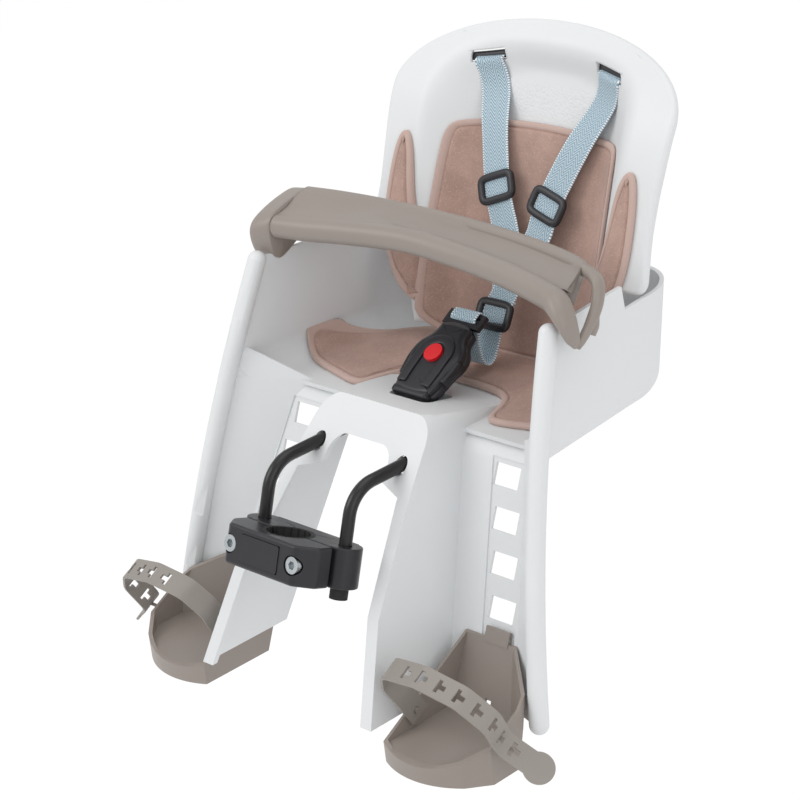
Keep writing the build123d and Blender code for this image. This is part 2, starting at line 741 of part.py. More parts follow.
def foot_block(grow, low):
    """Cup of the right footrest as a solid, from height low up to its sloping side walls."""
    x0 = foot_inner_x - grow
    x1 = foot_outer_x + grow
    y0 = foot_front_y - grow
    rear = 95.0
    front = ThreePointArc((x0, y0), ((x0 + x1) / 2.0, y0 - foot_bulge), (x1 - 14.0, y0 + 6.0))
    corner = Line((x1 - 14.0, y0 + 6.0), (x1, y0 + 22.0))
    sides = Polyline((x1, y0 + 22.0), (x1, rear), (x0, rear), (x0, y0))
    plan = make_face(front + corner + sides)
    top = 60.0
    body = Pos(0, 0, low) * extrude(plan, amount=top - low, dir=(0, 0, 1))
    back = Plane(origin=(0, leg_back_y0 - foot_clearance + grow, 0), x_dir=(1, 0, 0),
                 z_dir=leg_normal)
    body = body.split(back, keep=Keep.TOP)
    wing_dir = Vector(43.0, -32.0, 0).normalized()
    wing_normal = ladder_dir.cross(wing_dir).normalized()
    if wing_normal.Y > 0:
        wing_normal = wing_normal * -1.0
    wing = Plane(origin=Vector(strip_edge_x0, leg_back_y0, 0) + wing_normal * (1.0 - grow),
                 z_dir=wing_normal)
    body = body.split(wing, keep=Keep.TOP)
    slope_normal = Vector(0, -(foot_back_z - foot_deck_z), 79.0 - foot_front_y).normalized()
    crest = Plane(origin=(0, foot_front_y, foot_deck_z + 1.0), z_dir=slope_normal)
    body = body.split(crest, keep=Keep.BOTTOM)
    roll_run = Vector(*roll_bottom) - Vector(*roll_mid)
    roll_normal = roll_run.cross(foot_slide_dir).normalized()
    if roll_normal.X < 0:
        roll_normal = roll_normal * -1.0
    beside = Plane(origin=Vector(*roll_bottom) - roll_normal * (roll_radius + roll_clearance - grow),
                   z_dir=roll_normal)
    body = body.split(beside, keep=Keep.BOTTOM)
    roof = Plane(origin=(0, 0, foot_back_z), z_dir=(0, 0, 1))
    return body.split(roof, keep=Keep.BOTTOM)


def footrest():
    """Right footrest: deck with a deep front skirt, two triangular walls and a back wall."""
    outer = foot_block(0.0, foot_deck_z - foot_skirt)
    cup = foot_block(-foot_wall, foot_deck_z)
    under = foot_block(-foot_wall, foot_deck_z - foot_skirt - 5.0)
    deck_under = Plane(origin=(0, 0, foot_deck_z - foot_wall), z_dir=(0, 0, 1))
    under = under.split(deck_under, keep=Keep.BOTTOM)
    z = foot_back_z + 3.0
    tab_y = leg_back_y(z) - foot_clearance
    tab = leg_plane * Pos(strip_edge_x(z) - window_inset - window_width / 2.0, (z - 1.0) / leg_up.Z,
                          foot_clearance + 1.25 + 0.3) * Box(24.0, 12.0, 2.5)
    holes = None
    for x in (116.0, 138.0):
        hole = Pos(x, tab_y, foot_deck_z + 9.0) * Box(6.0, 60.0, 5.0)
        holes = hole if holes is None else holes + hole
    return outer - cup - under - holes + tab + foot_pegs()


def strap_centre_line():
    """Route of the strap over the foot, in the plane that the strap arches in."""
    inner = foot_inner_x + foot_wall + 1.5
    return FilletPolyline((inner, 2.0), (inner + 0.2, 27.0), (inner - 4.0, 44.0), (114.0, 66.0),
                          (150.0, 72.0), (186.0, 63.0), (203.0, 40.0), (198.5, 12.0), (222.0, -7.0),
                          radius=11.0)


strap_normal = Vector(0, -0.88, -0.48).normalized()
strap_plane = Plane(origin=(0, 18.5, -115.0), x_dir=(1, 0, 0), z_dir=strap_normal)


def foot_strap():
    """Perforated rubbery strap that arches over the right foot."""
    line = strap_centre_line()
    sheet = trace_line(line, foot_strap_wall)
    body = extrude(strap_plane * Pos(0, 0, -foot_strap_width / 2.0) * sheet, amount=foot_strap_width,
                   dir=strap_normal)
    for k in range(foot_hole_count):
        t = foot_hole_start + k * foot_hole_step
        here = strap_plane.from_local_coords(line @ t)
        along = (strap_plane.from_local_coords(line @ (t + 0.01)) - here).normalized()
        out = along.cross(strap_normal)
        spot = Plane(origin=here, x_dir=along, z_dir=out)
        body -= spot * Box(3.2, 10.5, 8.0)
        body -= spot * Pos(3.4, 0, 0) * Box(6.0, 4.0, 8.0)
    near = strap_plane.from_local_coords(Vector(0, foot_peg_height, 0))
    body -= Pos(foot_inner_x + 5.0, near.Y, near.Z) * Rot(0, 90, 0) * Cylinder(2.3, 12.0)
    peg = strap_plane.from_local_coords(line @ (foot_hole_start + foot_peg_hole * foot_hole_step))
    body -= Pos(peg.X, peg.Y, peg.Z) * Rot(0, 90, 0) * Cylinder(foot_peg_radius + 0.4, 24.0)
    tip = strap_plane.from_local_coords(line @ 1)
    along = (tip - strap_plane.from_local_coords(line @ 0.99)).normalized()
    tab = Plane(origin=tip, x_dir=along, z_dir=along.cross(strap_normal))
    return body + tab * Cylinder(foot_strap_width / 2.0 + 2.5, foot_strap_wall)


foot_hole_count = 9
foot_hole_start = 0.386
foot_hole_step = 0.073
foot_peg_height = 9.0
foot_peg_radius = 1.4


def foot_pegs():
    """Peg on the outer wall that goes through a hole of the strap, and its twin on the inner wall."""
    line = strap_centre_line()
    t = foot_hole_start + foot_peg_hole * foot_hole_step
    there = strap_plane.from_local_coords(line @ t)
    wall = foot_outer_x - foot_wall / 2.0
    tip = there.X + 3.0
    peg = Pos((wall + tip) / 2.0, there.Y, there.Z) * Rot(0, 90, 0) * Cylinder(foot_peg_radius, tip - wall)
    near = strap_plane.from_local_coords(Vector(0, foot_peg_height, 0))
    low = foot_inner_x + foot_wall / 2.0
    high = foot_inner_x + foot_wall + 5.0
    stud = Pos((low + high) / 2.0, near.Y, near.Z) * Rot(0, 90, 0) * Cylinder(2.0, high - low)
    return peg + stud


foot_peg_hole = 7


def trace_line(line, wall):
    """Strip of even width about a flat line."""
    n = 48
    left = []
    right = []
    for k in range(n + 1):
        t = k / n
        p = line @ t
        d = line % t
        normal = Vector(-d.Y, d.X, 0).normalized()
        left.append(p + normal * wall / 2.0)
        right.append(p - normal * wall / 2.0)
    return make_face(Polyline(*left, *reversed(right), close=True))


# Front bar, hinged at its left end
bar_pin = Vector(147.0, 147.0, 0.0)
bar_pin_radius = 4.0
bar_knuckle_radius = 9.0
bar_low_z = 170.6
bar_depth = 12.0
bar_end_x = 173.5
bar_end_wall = 4.0
bar_stations = [
    (-150.0, (150.0, 171.5), (152.0, 192.0), (198.0, 203.0)),
    (-120.0, (154.0, 174.0), (157.0, 192.0), (207.0, 201.0)),
    (-80.0, (163.0, 179.0), (167.0, 192.0), (217.0, 197.5)),
    (-23.0, (171.0, 185.0), (176.0, 192.5), (224.5, 192.0)),
    (30.0, (170.5, 185.0), (200.0, 187.5), (223.5, 190.5)),
    (86.0, (162.0, 180.0), (180.0, 188.0), (216.0, 190.5)),
    (133.0, (149.0, 173.0), (163.0, 188.5), (204.0, 191.0)),
    (160.0, (141.0, 169.5), (155.0, 188.0), (194.0, 193.0)),
    (175.0, (138.0, 168.0), (150.0, 188.0), (184.0, 196.0)),
]


def bar_section(x, nose, crest, rear):
    """Side view of the bar at one place along it."""
    under = (rear[0] - 1.0, rear[1] - bar_depth)
    belly = (nose[0] + 12.0, max(nose[1] - 3.0, bar_low_z))
    pts = [nose, crest, rear, under, belly]
    return make_face(Polyline(*[(x, y, z) for y, z in pts], close=True))


def front_bar():
    """Bar across the lap: a broad band with a rear rim, and an end plate outside the right wall."""
    band = loft([bar_section(*row) for row in bar_stations], ruled=True)
    knuckle = (Pos(-bar_pin.X, bar_pin.Y, (bar_low_z + 190.0) / 2.0)
               * Cylinder(bar_knuckle_radius, 190.0 - bar_low_z))
    plate = [(136.0, 168.0), (140.0, 184.0), (148.0, 193.0), (160.0, 202.0), (178.0, 200.0), (184.0, 184.0),
             (178.0, 167.0), (172.0, 163.0), (165.0, 149.0), (149.0, 143.0), (141.0, 152.0)]
    end = Pos(bar_end_x, 0, 0) * extrude(make_face(Polyline(*[(0, y, z) for y, z in plate], close=True)),
                                         amount=bar_end_wall, dir=(1, 0, 0))
    end = fillet(end.edges().filter_by(Axis.X), 3.0)
    window = [(150.0, 186.0), (159.0, 196.0), (169.0, 176.0), (159.0, 165.0)]
    hole = Pos(bar_end_x - 1.0, 0, 0) * extrude(make_face(Polyline(*[(0, y, z) for y, z in window],
                                                                   close=True)),
                                                amount=bar_end_wall + 2.0, dir=(1, 0, 0))
    bar = band + knuckle + end - hole
    bore = Pos(-bar_pin.X, bar_pin.Y, 180.0) * Cylinder(bar_pin_radius + fit_gap, 60.0)
    return bar - bore


def hinge_cap():
    """Cap fixed on top of the left wall: it carries the bar's hinge pin and covers its end."""
    low = Pos(153.0, 145.0, (146.0 + bar_low_z - 0.6) / 2.0) * Box(34.0, 38.0, bar_low_z - 0.6 - 146.0)
    low = fillet(low.edges().filter_by(Axis.Z), 8.0)
    side = [(127.0, 166.0), (127.0, 192.0), (136.0, 197.0), (190.0, 205.0), (191.0, 197.0), (160.0, 166.0)]
    strip = Pos(165.0, 0, 0) * extrude(make_face(Polyline(*[(0, y, z) for y, z in side], close=True)),
                                       amount=4.0, dir=(1, 0, 0))
    front = Pos(160.0, 129.0, 179.0) * Box(18.0, 5.0, 26.0)
    cap = low + strip + front
    ring = Plane(origin=roll_arc @ 0, z_dir=roll_arc % 0) * Circle(roll_radius + 0.2)
    cap -= sweep(ring, path=Wire([roll_arc])) + Pos(*(roll_arc @ 0)) * Sphere(roll_radius + 0.2)
    slab = Pos(150.0, 200.0, 140.0) * Box(200.0, 200.0, 41.0)
    slab = slab.split(bucket_side_plane(0.2), keep=Keep.BOTTOM)
    slab = slab.split(bucket_side_plane(-shell_wall - 0.2), keep=Keep.TOP)
    cap -= slab
    cap -= Pos(bar_pin.X, bar_pin.Y, 200.0) * Cylinder(bar_knuckle_radius + 1.0, 2.0 * (200.0 - bar_low_z + 0.6))
    cap -= Pos(bar_pin.X, bar_pin.Y, 160.0) * Cylinder(bar_pin_radius, 60.0)
    return mirror_x(cap)


def hinge_pin():
    """Steel pin of the bar's hinge."""
    low = 150.0
    high = 189.0
    return Pos(-bar_pin.X, bar_pin.Y, (low + high) / 2.0) * Cylinder(bar_pin_radius, high - low)


# Seat pad: one piece of felt over the pan and up the backrest
pad_wall = 6.0
pad_lift = 0.3
pad_back_outline = [(-90.0, -93.0), (90.0, -93.0), (98.0, -60.0), (101.0, -46.0), (122.0, -8.0), (131.0, 0.0),
                    (131.0, 26.0), (130.0, 64.0), (119.0, 72.0), (106.5, 60.0), (105.0, 24.0),
                    (105.0, 8.0), (102.0, 8.0), (102.0, 24.0), (102.0, 82.0), (96.0, 88.0), (45.0, 93.5),
                    (0.0, 94.5)]
pad_seat_outline = [(0.0, 198.0), (40.0, 196.0), (55.0, 186.0), (62.0, 172.0), (66.0, 156.0), (80.0, 152.0),
                    (104.0, 160.0), (132.0, 166.0), (160.0, 178.0), (156.0, 200.0), (134.0, 236.0),
                    (112.0, 262.0), (96.0, 272.0), (0.0, 274.0)]


def cavity(grow):
    """Everything in front of the backrest's surface, offset by grow."""
    big = [(-300, -300), (300, -300), (300, 300), (-300, 300)]
    return tray_block(grow) + rest_prism(big, -20.0, grow)


def seat_liner():
    """Pad: a panel up the backrest with a wing on each side, and a seat part over the pan."""
    left = [(-x, w) for x, w in reversed(pad_back_outline[1:]) if x != 0.0]
    back_outline = rest_prism(pad_back_outline[1:] + left, -15.0, 60.0)
    back = (cavity(-pad_lift) - cavity(-pad_lift - pad_wall)) & back_outline
    room = bucket_block(-shell_wall - pad_lift, pan_z + pad_lift, bucket_edge_radius - shell_wall, 150.0)
    core = bucket_block(-shell_wall - pad_lift - pad_wall, pan_z + pad_lift + pad_wall,
                        bucket_edge_radius - shell_wall - pad_wall, 155.0)
    mirrored_half = [(-x, y) for x, y in reversed(pad_seat_outline) if x != 0.0]
    plan = make_face(Polyline(*(pad_seat_outline + mirrored_half), close=True))
    column = Pos(0, 0, pan_z - 5.0) * extrude(plan, amount=26.0, dir=(0, 0, 1))
    seat = (room - core) & column
    rear = [(saddle_rear_y, pan_z), (150.0, pan_z - 20.0)]
    seat -= saddle_block(0.4, rear)
    return seat + back


# Harness webbing and its fittings
def ribbon(points, across_dirs, width, wall):
    """Band of even width and wall through several points."""
    faces = []
    n = len(points)
    for k, p in enumerate(points):
        before = points[max(k - 1, 0)]
        after = points[min(k + 1, n - 1)]
        along = (after - before).normalized()
        side = across_dirs[k] - along * across_dirs[k].dot(along)
        side = side.normalized()
        thick = side.cross(along)
        a = side * (width / 2.0)
        b = thick * (wall / 2.0)
        faces.append(make_face(Polyline(p - a - b, p + a - b, p + a + b, p - a + b, close=True)))
    return loft(faces, ruled=True)


def buckle_point(x, along, lift):
    return buckle_plane.from_local_coords(Vector(x, along, lift))


buckle_dir = Vector(0, 0.857, 0.515).normalized()
buckle_plane = Plane(origin=(0, 176.4, 92.0), x_dir=(1, 0, 0), z_dir=Vector(0, -0.515, 0.857).normalized())
buckle_half = 19.5
buckle_half_length = 31.0
buckle_front = 8.0
buckle_split = -1.0
buckle_back_face = -8.0
button_radius = 8.0
button_travel = 3.0
slider_width = 38.0
slider_height = 32.0
slider_wall = 7.6
join_spot = Vector(3.0, 240.5, 107.0)

left_strap_line = [rest_spot(-strap_slot_x, strap_slot_w - 1.6, 44.0),
                   rest_spot(-strap_slot_x, strap_slot_w - 1.6, 24.0),
                   rest_spot(-60.5, 132.0, 17.0), rest_spot(-30.0, 39.5, 15.0), rest_spot(-14.0, 7.0, 14.0),
                   Vector(-2.0, 262.0, 143.0), Vector(7.0, 249.0, 122.0), join_spot + Vector(0.0, 1.2, 0.0),
                   join_spot + Vector(0.0, -2.0, -7.0)]
right_strap_line = [rest_spot(strap_slot_x, strap_slot_w - 1.6, 44.0),
                    rest_spot(strap_slot_x, strap_slot_w - 1.6, 24.0),
                    rest_spot(61.5, 132.0, 17.0), rest_spot(27.0, 33.0, 14.0), rest_spot(24.0, 9.0, 11.0),
                    Vector(17.5, 261.0, 147.0), Vector(8.5, 246.5, 123.0),
                    join_spot + Vector(0.5, -1.3, 1.0), join_spot + Vector(0.5, -4.5, -6.0)]


def shoulder_strap(points):
    return ribbon(points, [Vector(1, 0, 0)] * len(points), webbing_width, webbing_wall)


def strap_slider(points, k, share, layers, shift):
    """Plastic slider with two windows, around one or two layers of webbing."""
    here = points[k] + (points[k + 1] - points[k]) * share + shift
    along = (points[k + 1] - points[k]).normalized()
    side = (Vector(1, 0, 0) - along * along.X).normalized()
    spot = Plane(origin=here, x_dir=side, z_dir=side.cross(along * -1.0))
    body = Box(slider_width, slider_height, slider_wall + layers)
    body = fillet(body.edges().filter_by(Axis.Z), 4.0)
    body -= Box(webbing_width + 1.6, 80.0, layers * (webbing_wall + 0.6) + 0.8)
    for y in (-7.2, 7.2):
        body -= Pos(0, y, 10.0) * Box(webbing_width + 1.0, 8.5, 20.0)
    return spot * body


def strap_anchor(side):
    """Black retainer: a bar in the slot above the strap, with a flange behind the shell."""
    x = side * strap_slot_x
    high = strap_slot_w + strap_slot_height / 2.0
    low = strap_slot_w + 0.2
    bar = rest_prism([(x - 15.0, low), (x + 15.0, low), (x + 15.0, high - 0.2), (x - 15.0, high - 0.2)],
                     19.0, 42.0)
    flange = rest_prism([(x - 20.0, low), (x + 20.0, low), (x + 20.0, high + 8.0), (x - 20.0, high + 8.0)],
                        39.0, 42.0)
    return bar + flange


def buckle_outline(half, low, high, cut):
    return Polyline((-half + cut, low), (half - cut, low), (half, low + cut), (half, high - cut),
                    (half - cut, high), (-half + cut, high), (-half, high - cut), (-half, low + cut), close=True)


def buckle_half_shell(low, high):
    face = make_face(buckle_outline(buckle_half, -buckle_half_length, buckle_half_length, 7.0))
    half = buckle_plane * Pos(0, 0, low) * extrude(face, amount=high - low)
    return half


def buckle_body():
    """Front half of the buckle, with the button's hole and the tongue's slot."""
    body = buckle_half_shell(buckle_split, buckle_front)
    rim = [e for e in body.edges() if buckle_plane.to_local_coords(e @ 0.5).Z > buckle_front - 0.1]
    body = fillet(rim, 3.0)
    body -= buckle_plane * Pos(0, 0, 10.0) * Cylinder(button_radius + fit_gap, 30.0)
    body -= buckle_plane * Pos(0, 0, 1.9) * Cylinder(button_radius + 2.2, 5.8)
    return body - buckle_plane * Pos(0, 21.0, 0.1) * Box(19.0, 24.0, 2.4)


def buckle_back():
    """Rear half of the buckle, with the slot that the crotch strap is sewn through."""
    body = buckle_half_shell(buckle_back_face, buckle_split)
    return body - buckle_plane * Pos(0, -22.0, buckle_back_face) * Box(webbing_width + 1.0, 4.0, 8.0)


def buckle_button():
    """Round release button with a flange that keeps it in the buckle."""
    button = buckle_plane * Pos(0, 0, 6.0) * Cylinder(button_radius, 6.6)
    return button + buckle_plane * Pos(0, 0, 3.2) * Cylinder(button_radius + 1.5, 1.4)


def buckle_tongue():
    """Flat tongue in the buckle, with a loop for the lower strap."""
    blade = buckle_plane * Pos(0, 22.0, 0.1) * Box(17.6, 20.0, 1.8)
    loop = buckle_plane * Pos(0, buckle_half_length + 8.0, 0.1) * Box(39.0, 14.0, 4.0)
    return blade + loop - buckle_plane * Pos(0, buckle_half_length + 9.0, 0.1) * Box(31.0, 5.4, 10.0)


def lower_strap():
    """Webbing from the join of the shoulder straps, folded and taken up to the tongue's loop."""
    loop = buckle_point(0.0, buckle_half_length + 9.0, 0.0)
    route = FilletPolyline((236.4, 98.5), (225.6, 75.0), (216.5, 73.6), (loop.Y - 0.6, loop.Z - 8.0),
                           (loop.Y - 0.6, loop.Z + 4.0), radius=5.0)
    band = trace_line(route, webbing_wall)
    sheet = Plane(origin=(join_spot.X - 3.3 - webbing_width / 2.0, 0, 0), x_dir=(0, 1, 0), z_dir=(1, 0, 0)) * band
    return extrude(sheet, amount=webbing_width, dir=(1, 0, 0))


def crotch_strap():
    """Short strap from the buckle down through the pocket to its anchor plate."""
    up = buckle_point(0.0, -22.0, buckle_back_face + 1.5)
    pts = [up, up + Vector(0, 0.6, -3.0), Vector(0, crotch_strap_y, pocket_floor), Vector(0, crotch_strap_y, 50.0)]
    return ribbon(pts, [Vector(1, 0, 0)] * len(pts), webbing_width, webbing_wall)


def crotch_anchor_plate():
    """Plate under the pocket that the crotch strap hangs on."""
    plate = Pos(0, crotch_strap_y, pocket_floor - shell_wall - 1.7) * Box(38.0, 16.0, 3.0)
    return plate - Pos(0, crotch_strap_y, 50.0) * Box(webbing_width + 0.8, webbing_wall + 0.5, 30.0)


nodes = {}
nodes["lower_shell"] = lower_shell()
nodes["backrest_shell"] = backrest_shell()
nodes["bracket_front"] = bracket_front()
nodes["bracket_rear"] = bracket_rear()
nodes["bracket_plate"] = bracket_plate()
nodes["clamp_bolts"] = clamp_bolts()
nodes["clamp_nuts"] = clamp_nuts()
nodes["clamp_liner_front"] = clamp_liner(-1)
nodes["clamp_liner_rear"] = clamp_liner(1)
nodes["support_rod"] = support_rod()
nodes["rod_caps"] = rod_caps()
nodes["rod_clamp_plate"] = rod_clamp_plate()
nodes["rod_clamp_screws"] = rod_clamp_screws()
foot = footrest()
nodes["footrest_right"] = foot
nodes["footrest_left"] = mirror_x(foot)
nodes["front_bar"] = front_bar()
nodes["bar_hinge_cap"] = hinge_cap()
nodes["hinge_pin"] = hinge_pin()
nodes["seat_liner"] = seat_liner()
nodes["backrest_screws"] = rest_screws()
nodes["shoulder_strap_left"] = shoulder_strap(left_strap_line)
nodes["shoulder_strap_right"] = shoulder_strap(right_strap_line)
nodes["strap_slider_left"] = strap_slider(left_strap_line, 2, 0.96, 1, Vector(0, 0, 0))
nodes["strap_slider_right"] = strap_slider(right_strap_line, 2, 0.92, 1, Vector(0, 0, 0))
nodes["strap_slider_join"] = strap_slider(left_strap_line, 6, 1.0, 2, Vector(0.2, -1.2, 0.0))
nodes["strap_anchor_left"] = strap_anchor(-1)
nodes["strap_anchor_right"] = strap_anchor(1)
nodes["buckle_body"] = buckle_body()
nodes["buckle_back"] = buckle_back()
nodes["buckle_button"] = buckle_button()
nodes["buckle_tongue"] = buckle_tongue()
nodes["lower_strap"] = lower_strap()
nodes["crotch_strap"] = crotch_strap()
nodes["crotch_anchor_plate"] = crotch_anchor_plate()
strap = foot_strap()
nodes["foot_strap_right"] = strap
nodes["foot_strap_left"] = mirror_x(strap)

for name, shape in nodes.items():
    shape.label = name
    export_step(shape, "parts/" + name + ".step")
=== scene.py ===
"""Looks of the front-mounted child seat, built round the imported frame."""
import json
import math

import bmesh
import bpy
import numpy as np
from mathutils import Matrix, Vector


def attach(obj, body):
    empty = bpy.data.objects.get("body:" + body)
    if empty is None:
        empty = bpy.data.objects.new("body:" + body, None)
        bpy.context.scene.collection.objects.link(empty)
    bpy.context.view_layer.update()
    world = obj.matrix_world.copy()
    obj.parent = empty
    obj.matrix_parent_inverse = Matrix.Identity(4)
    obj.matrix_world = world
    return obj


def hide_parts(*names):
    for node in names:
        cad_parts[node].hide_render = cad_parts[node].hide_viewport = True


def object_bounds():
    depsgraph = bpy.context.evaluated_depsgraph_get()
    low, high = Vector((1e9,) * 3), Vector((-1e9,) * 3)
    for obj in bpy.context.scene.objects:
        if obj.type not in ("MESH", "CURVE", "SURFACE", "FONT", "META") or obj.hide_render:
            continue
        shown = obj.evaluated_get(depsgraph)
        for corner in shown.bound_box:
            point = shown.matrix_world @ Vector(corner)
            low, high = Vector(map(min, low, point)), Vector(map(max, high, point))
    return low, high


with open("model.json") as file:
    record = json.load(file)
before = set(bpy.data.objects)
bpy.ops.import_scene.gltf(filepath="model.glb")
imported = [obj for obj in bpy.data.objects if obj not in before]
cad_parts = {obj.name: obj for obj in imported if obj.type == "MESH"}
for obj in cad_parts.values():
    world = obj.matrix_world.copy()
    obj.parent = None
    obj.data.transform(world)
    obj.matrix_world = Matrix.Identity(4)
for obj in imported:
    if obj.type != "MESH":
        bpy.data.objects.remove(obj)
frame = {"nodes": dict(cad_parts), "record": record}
CAD_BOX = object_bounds()
NODES = frame["nodes"]


# Shader maths
def put(socket, v):
    """Links a socket where v is one, and sets its value where v is a number or a colour."""
    if isinstance(v, Sock):
        Sock.tree.links.new(v.s, socket)
    elif isinstance(v, bpy.types.NodeSocket):
        Sock.tree.links.new(v, socket)
    else:
        socket.default_value = v


class Sock:
    """A shader socket that adds, multiplies and compares like a number."""
    tree = None

    def __init__(self, s):
        self.s = s

    @staticmethod
    def node(kind, settings=None, sockets=None):
        """New node: its settings first, then the values or links of its sockets, by name or number."""
        n = Sock.tree.nodes.new(kind)
        for key, v in (settings or {}).items():
            setattr(n, key, v)
        for key, v in (sockets or {}).items():
            put(n.inputs[key], v)
        return n

    def m(self, op, *others):
        n = Sock.node("ShaderNodeMath", {"operation": op}, dict(enumerate((self, *others))))
        return Sock(n.outputs[0])

    def __add__(self, o):
        return self.m("ADD", o)

    def __sub__(self, o):
        return self.m("SUBTRACT", o)

    def __mul__(self, o):
        return self.m("MULTIPLY", o)

    def __mod__(self, o):
        return self.m("MODULO", o)

    __radd__ = __add__
    __rmul__ = __mul__

    def __rsub__(self, o):
        return self * -1.0 + o

    def abs(self):
        return self.m("ABSOLUTE")

    def step(self, low, high):
        """0 below low, 1 above high, smooth between."""
        n = Sock.node("ShaderNodeMapRange", {"interpolation_type": "SMOOTHSTEP"}, {0: self, 1: low, 2: high})
        return Sock(n.outputs[0])


def coords():
    return Sock.node("ShaderNodeTexCoord").outputs["Object"]


def own_uv():
    return Sock.node("ShaderNodeUVMap").outputs[0]


def xyz(vec):
    return [Sock(o) for o in Sock.node("ShaderNodeSeparateXYZ", sockets={0: vec}).outputs]


def noise(vec, scale, detail=3.0, rough=0.55):
    n = Sock.node("ShaderNodeTexNoise",
                  sockets={"Vector": vec, "Scale": scale, "Detail": detail, "Roughness": rough})
    return Sock(n.outputs[0])


def voronoi(vec, scale):
    n = Sock.node("ShaderNodeTexVoronoi", sockets={"Vector": vec, "Scale": scale})
    return Sock(n.outputs["Distance"])


def mix(a, b, f):
    """Colour a where f is 0, b where it is 1."""
    a, b = ((*c, 1.0) if isinstance(c, tuple) else c for c in (a, b))
    return Sock(Sock.node("ShaderNodeMix", {"data_type": "RGBA"}, {0: f, 6: a, 7: b}).outputs[2])


def bump(height, strength, distance):
    n = Sock.node("ShaderNodeBump", sockets={"Height": height, "Strength": strength, "Distance": distance})
    return n.outputs[0]


def times(colour, share):
    """A darker or lighter shade of a colour, no channel above 1."""
    return tuple(min(1.0, v * share) for v in colour)


def material(name, build, **kw):
    """New material. The build function fills the shader's sockets, and may return another shader to show."""
    mat = bpy.data.materials.new(name)
    mat.use_nodes = True
    Sock.tree = mat.node_tree
    Sock.tree.nodes.clear()
    out = Sock.node("ShaderNodeOutputMaterial")
    bsdf = Sock.node("ShaderNodeBsdfPrincipled")
    put(out.inputs[0], build(bsdf, **kw) or bsdf.outputs[0])
    return mat


def plastic(bsdf, colour, rough=0.42, grain=900.0, depth=0.00012, vary=0.06):
    """Moulded plastic: a fine spark-eroded grain, faint flow marks and slightly uneven gloss."""
    c = coords()
    soft = noise(c, 9.0, 4.0)
    fine = noise(c, grain, 2.0)
    put(bsdf.inputs["Base Color"], mix(times(colour, 1.0 - vary), colour, soft.step(0.3, 0.7)))
    put(bsdf.inputs["Roughness"], soft * 0.08 + fine * 0.05 + (rough - 0.06))
    put(bsdf.inputs["Normal"], bump(fine, 0.35, depth))


def dimpled(bsdf, colour):
    """The backrest's plastic. Small moulded dimples in a band above the pad take the place of its grain."""
    plastic(bsdf, colour, grain=1100.0, depth=0.00016, vary=0.02)
    c = coords()
    x, _, z = xyz(c)
    band = z.step(0.236, 0.246) * (1.0 - z.step(0.262, 0.272)) * (1.0 - x.abs().step(0.062, 0.088))
    pits = voronoi(c, 430.0).step(0.15, 0.6)
    put(bsdf.inputs["Normal"], bump(pits * band, 0.4, 0.0005))


def metal(bsdf, colour, rough):
    """Plated steel with a fine drawn grain."""
    c = coords()
    put(bsdf.inputs["Base Color"], mix(times(colour, 0.85), colour, noise(c, 60.0).step(0.3, 0.7)))
    bsdf.inputs["Metallic"].default_value = 1.0
    put(bsdf.inputs["Roughness"], noise(c, 150.0) * 0.15 + (rough - 0.07))
    put(bsdf.inputs["Normal"], bump(noise(c, 700.0), 0.3, 0.00008))


def rubber(bsdf, colour):
    """Matt rubber, slightly dusty."""
    c = coords()
    put(bsdf.inputs["Base Color"], mix(times(colour, 0.8), colour, noise(c, 40.0).step(0.3, 0.7)))
    put(bsdf.inputs["Roughness"], noise(c, 200.0) * 0.2 + 0.6)
    put(bsdf.inputs["Normal"], bump(noise(c, 1200.0), 0.4, 0.0001))


def felt(bsdf, colour):
    """Pressed felt with a suede nap: blotchy colour, short fibres, a soft sheen and a paler pressed border
    (UV u is the distance in from the edge in centimetres)."""
    c = coords()
    inward, _, _ = xyz(own_uv())
    border = 1.0 - inward.step(0.47, 0.53)
    blotch = noise(c, 26.0, 5.0, 0.65)
    fibre = noise(c, 900.0, 3.0, 0.7)
    nap = noise(c, 210.0, 4.0, 0.7)
    speck = noise(c, 850.0, 2.0, 0.6)
    base = mix(times(colour, 0.86), times(colour, 1.12), blotch.step(0.3, 0.72))
    base = mix(base, times(colour, 0.74), fibre.step(0.52, 0.80) * 0.5)
    base = mix(base, times(colour, 1.3), nap.step(0.5, 0.75) * 0.25)
    base = mix(base, times(colour, 1.5), speck.step(0.50, 0.70) * 0.45)
    red, green, blue = colour
    pale = (red * 1.28, green * 1.42, blue * 1.5)
    put(bsdf.inputs["Base Color"], mix(base, pale, border * 0.85))
    bsdf.inputs["Roughness"].default_value = 0.95
    bsdf.inputs["Specular IOR Level"].default_value = 0.2
    bsdf.inputs["Sheen Weight"].default_value = 0.3
    bsdf.inputs["Sheen Roughness"].default_value = 0.6
    bsdf.inputs["Sheen Tint"].default_value = (0.9, 0.75, 0.7, 1.0)
    put(bsdf.inputs["Normal"], bump(fibre * 0.5 + nap * 0.8, 0.5, 0.0004))


def wave(v):
    """Triangle wave: 1 at whole numbers, 0 half way between."""
    return (v % 1.0 - 0.5).abs() * 2.0


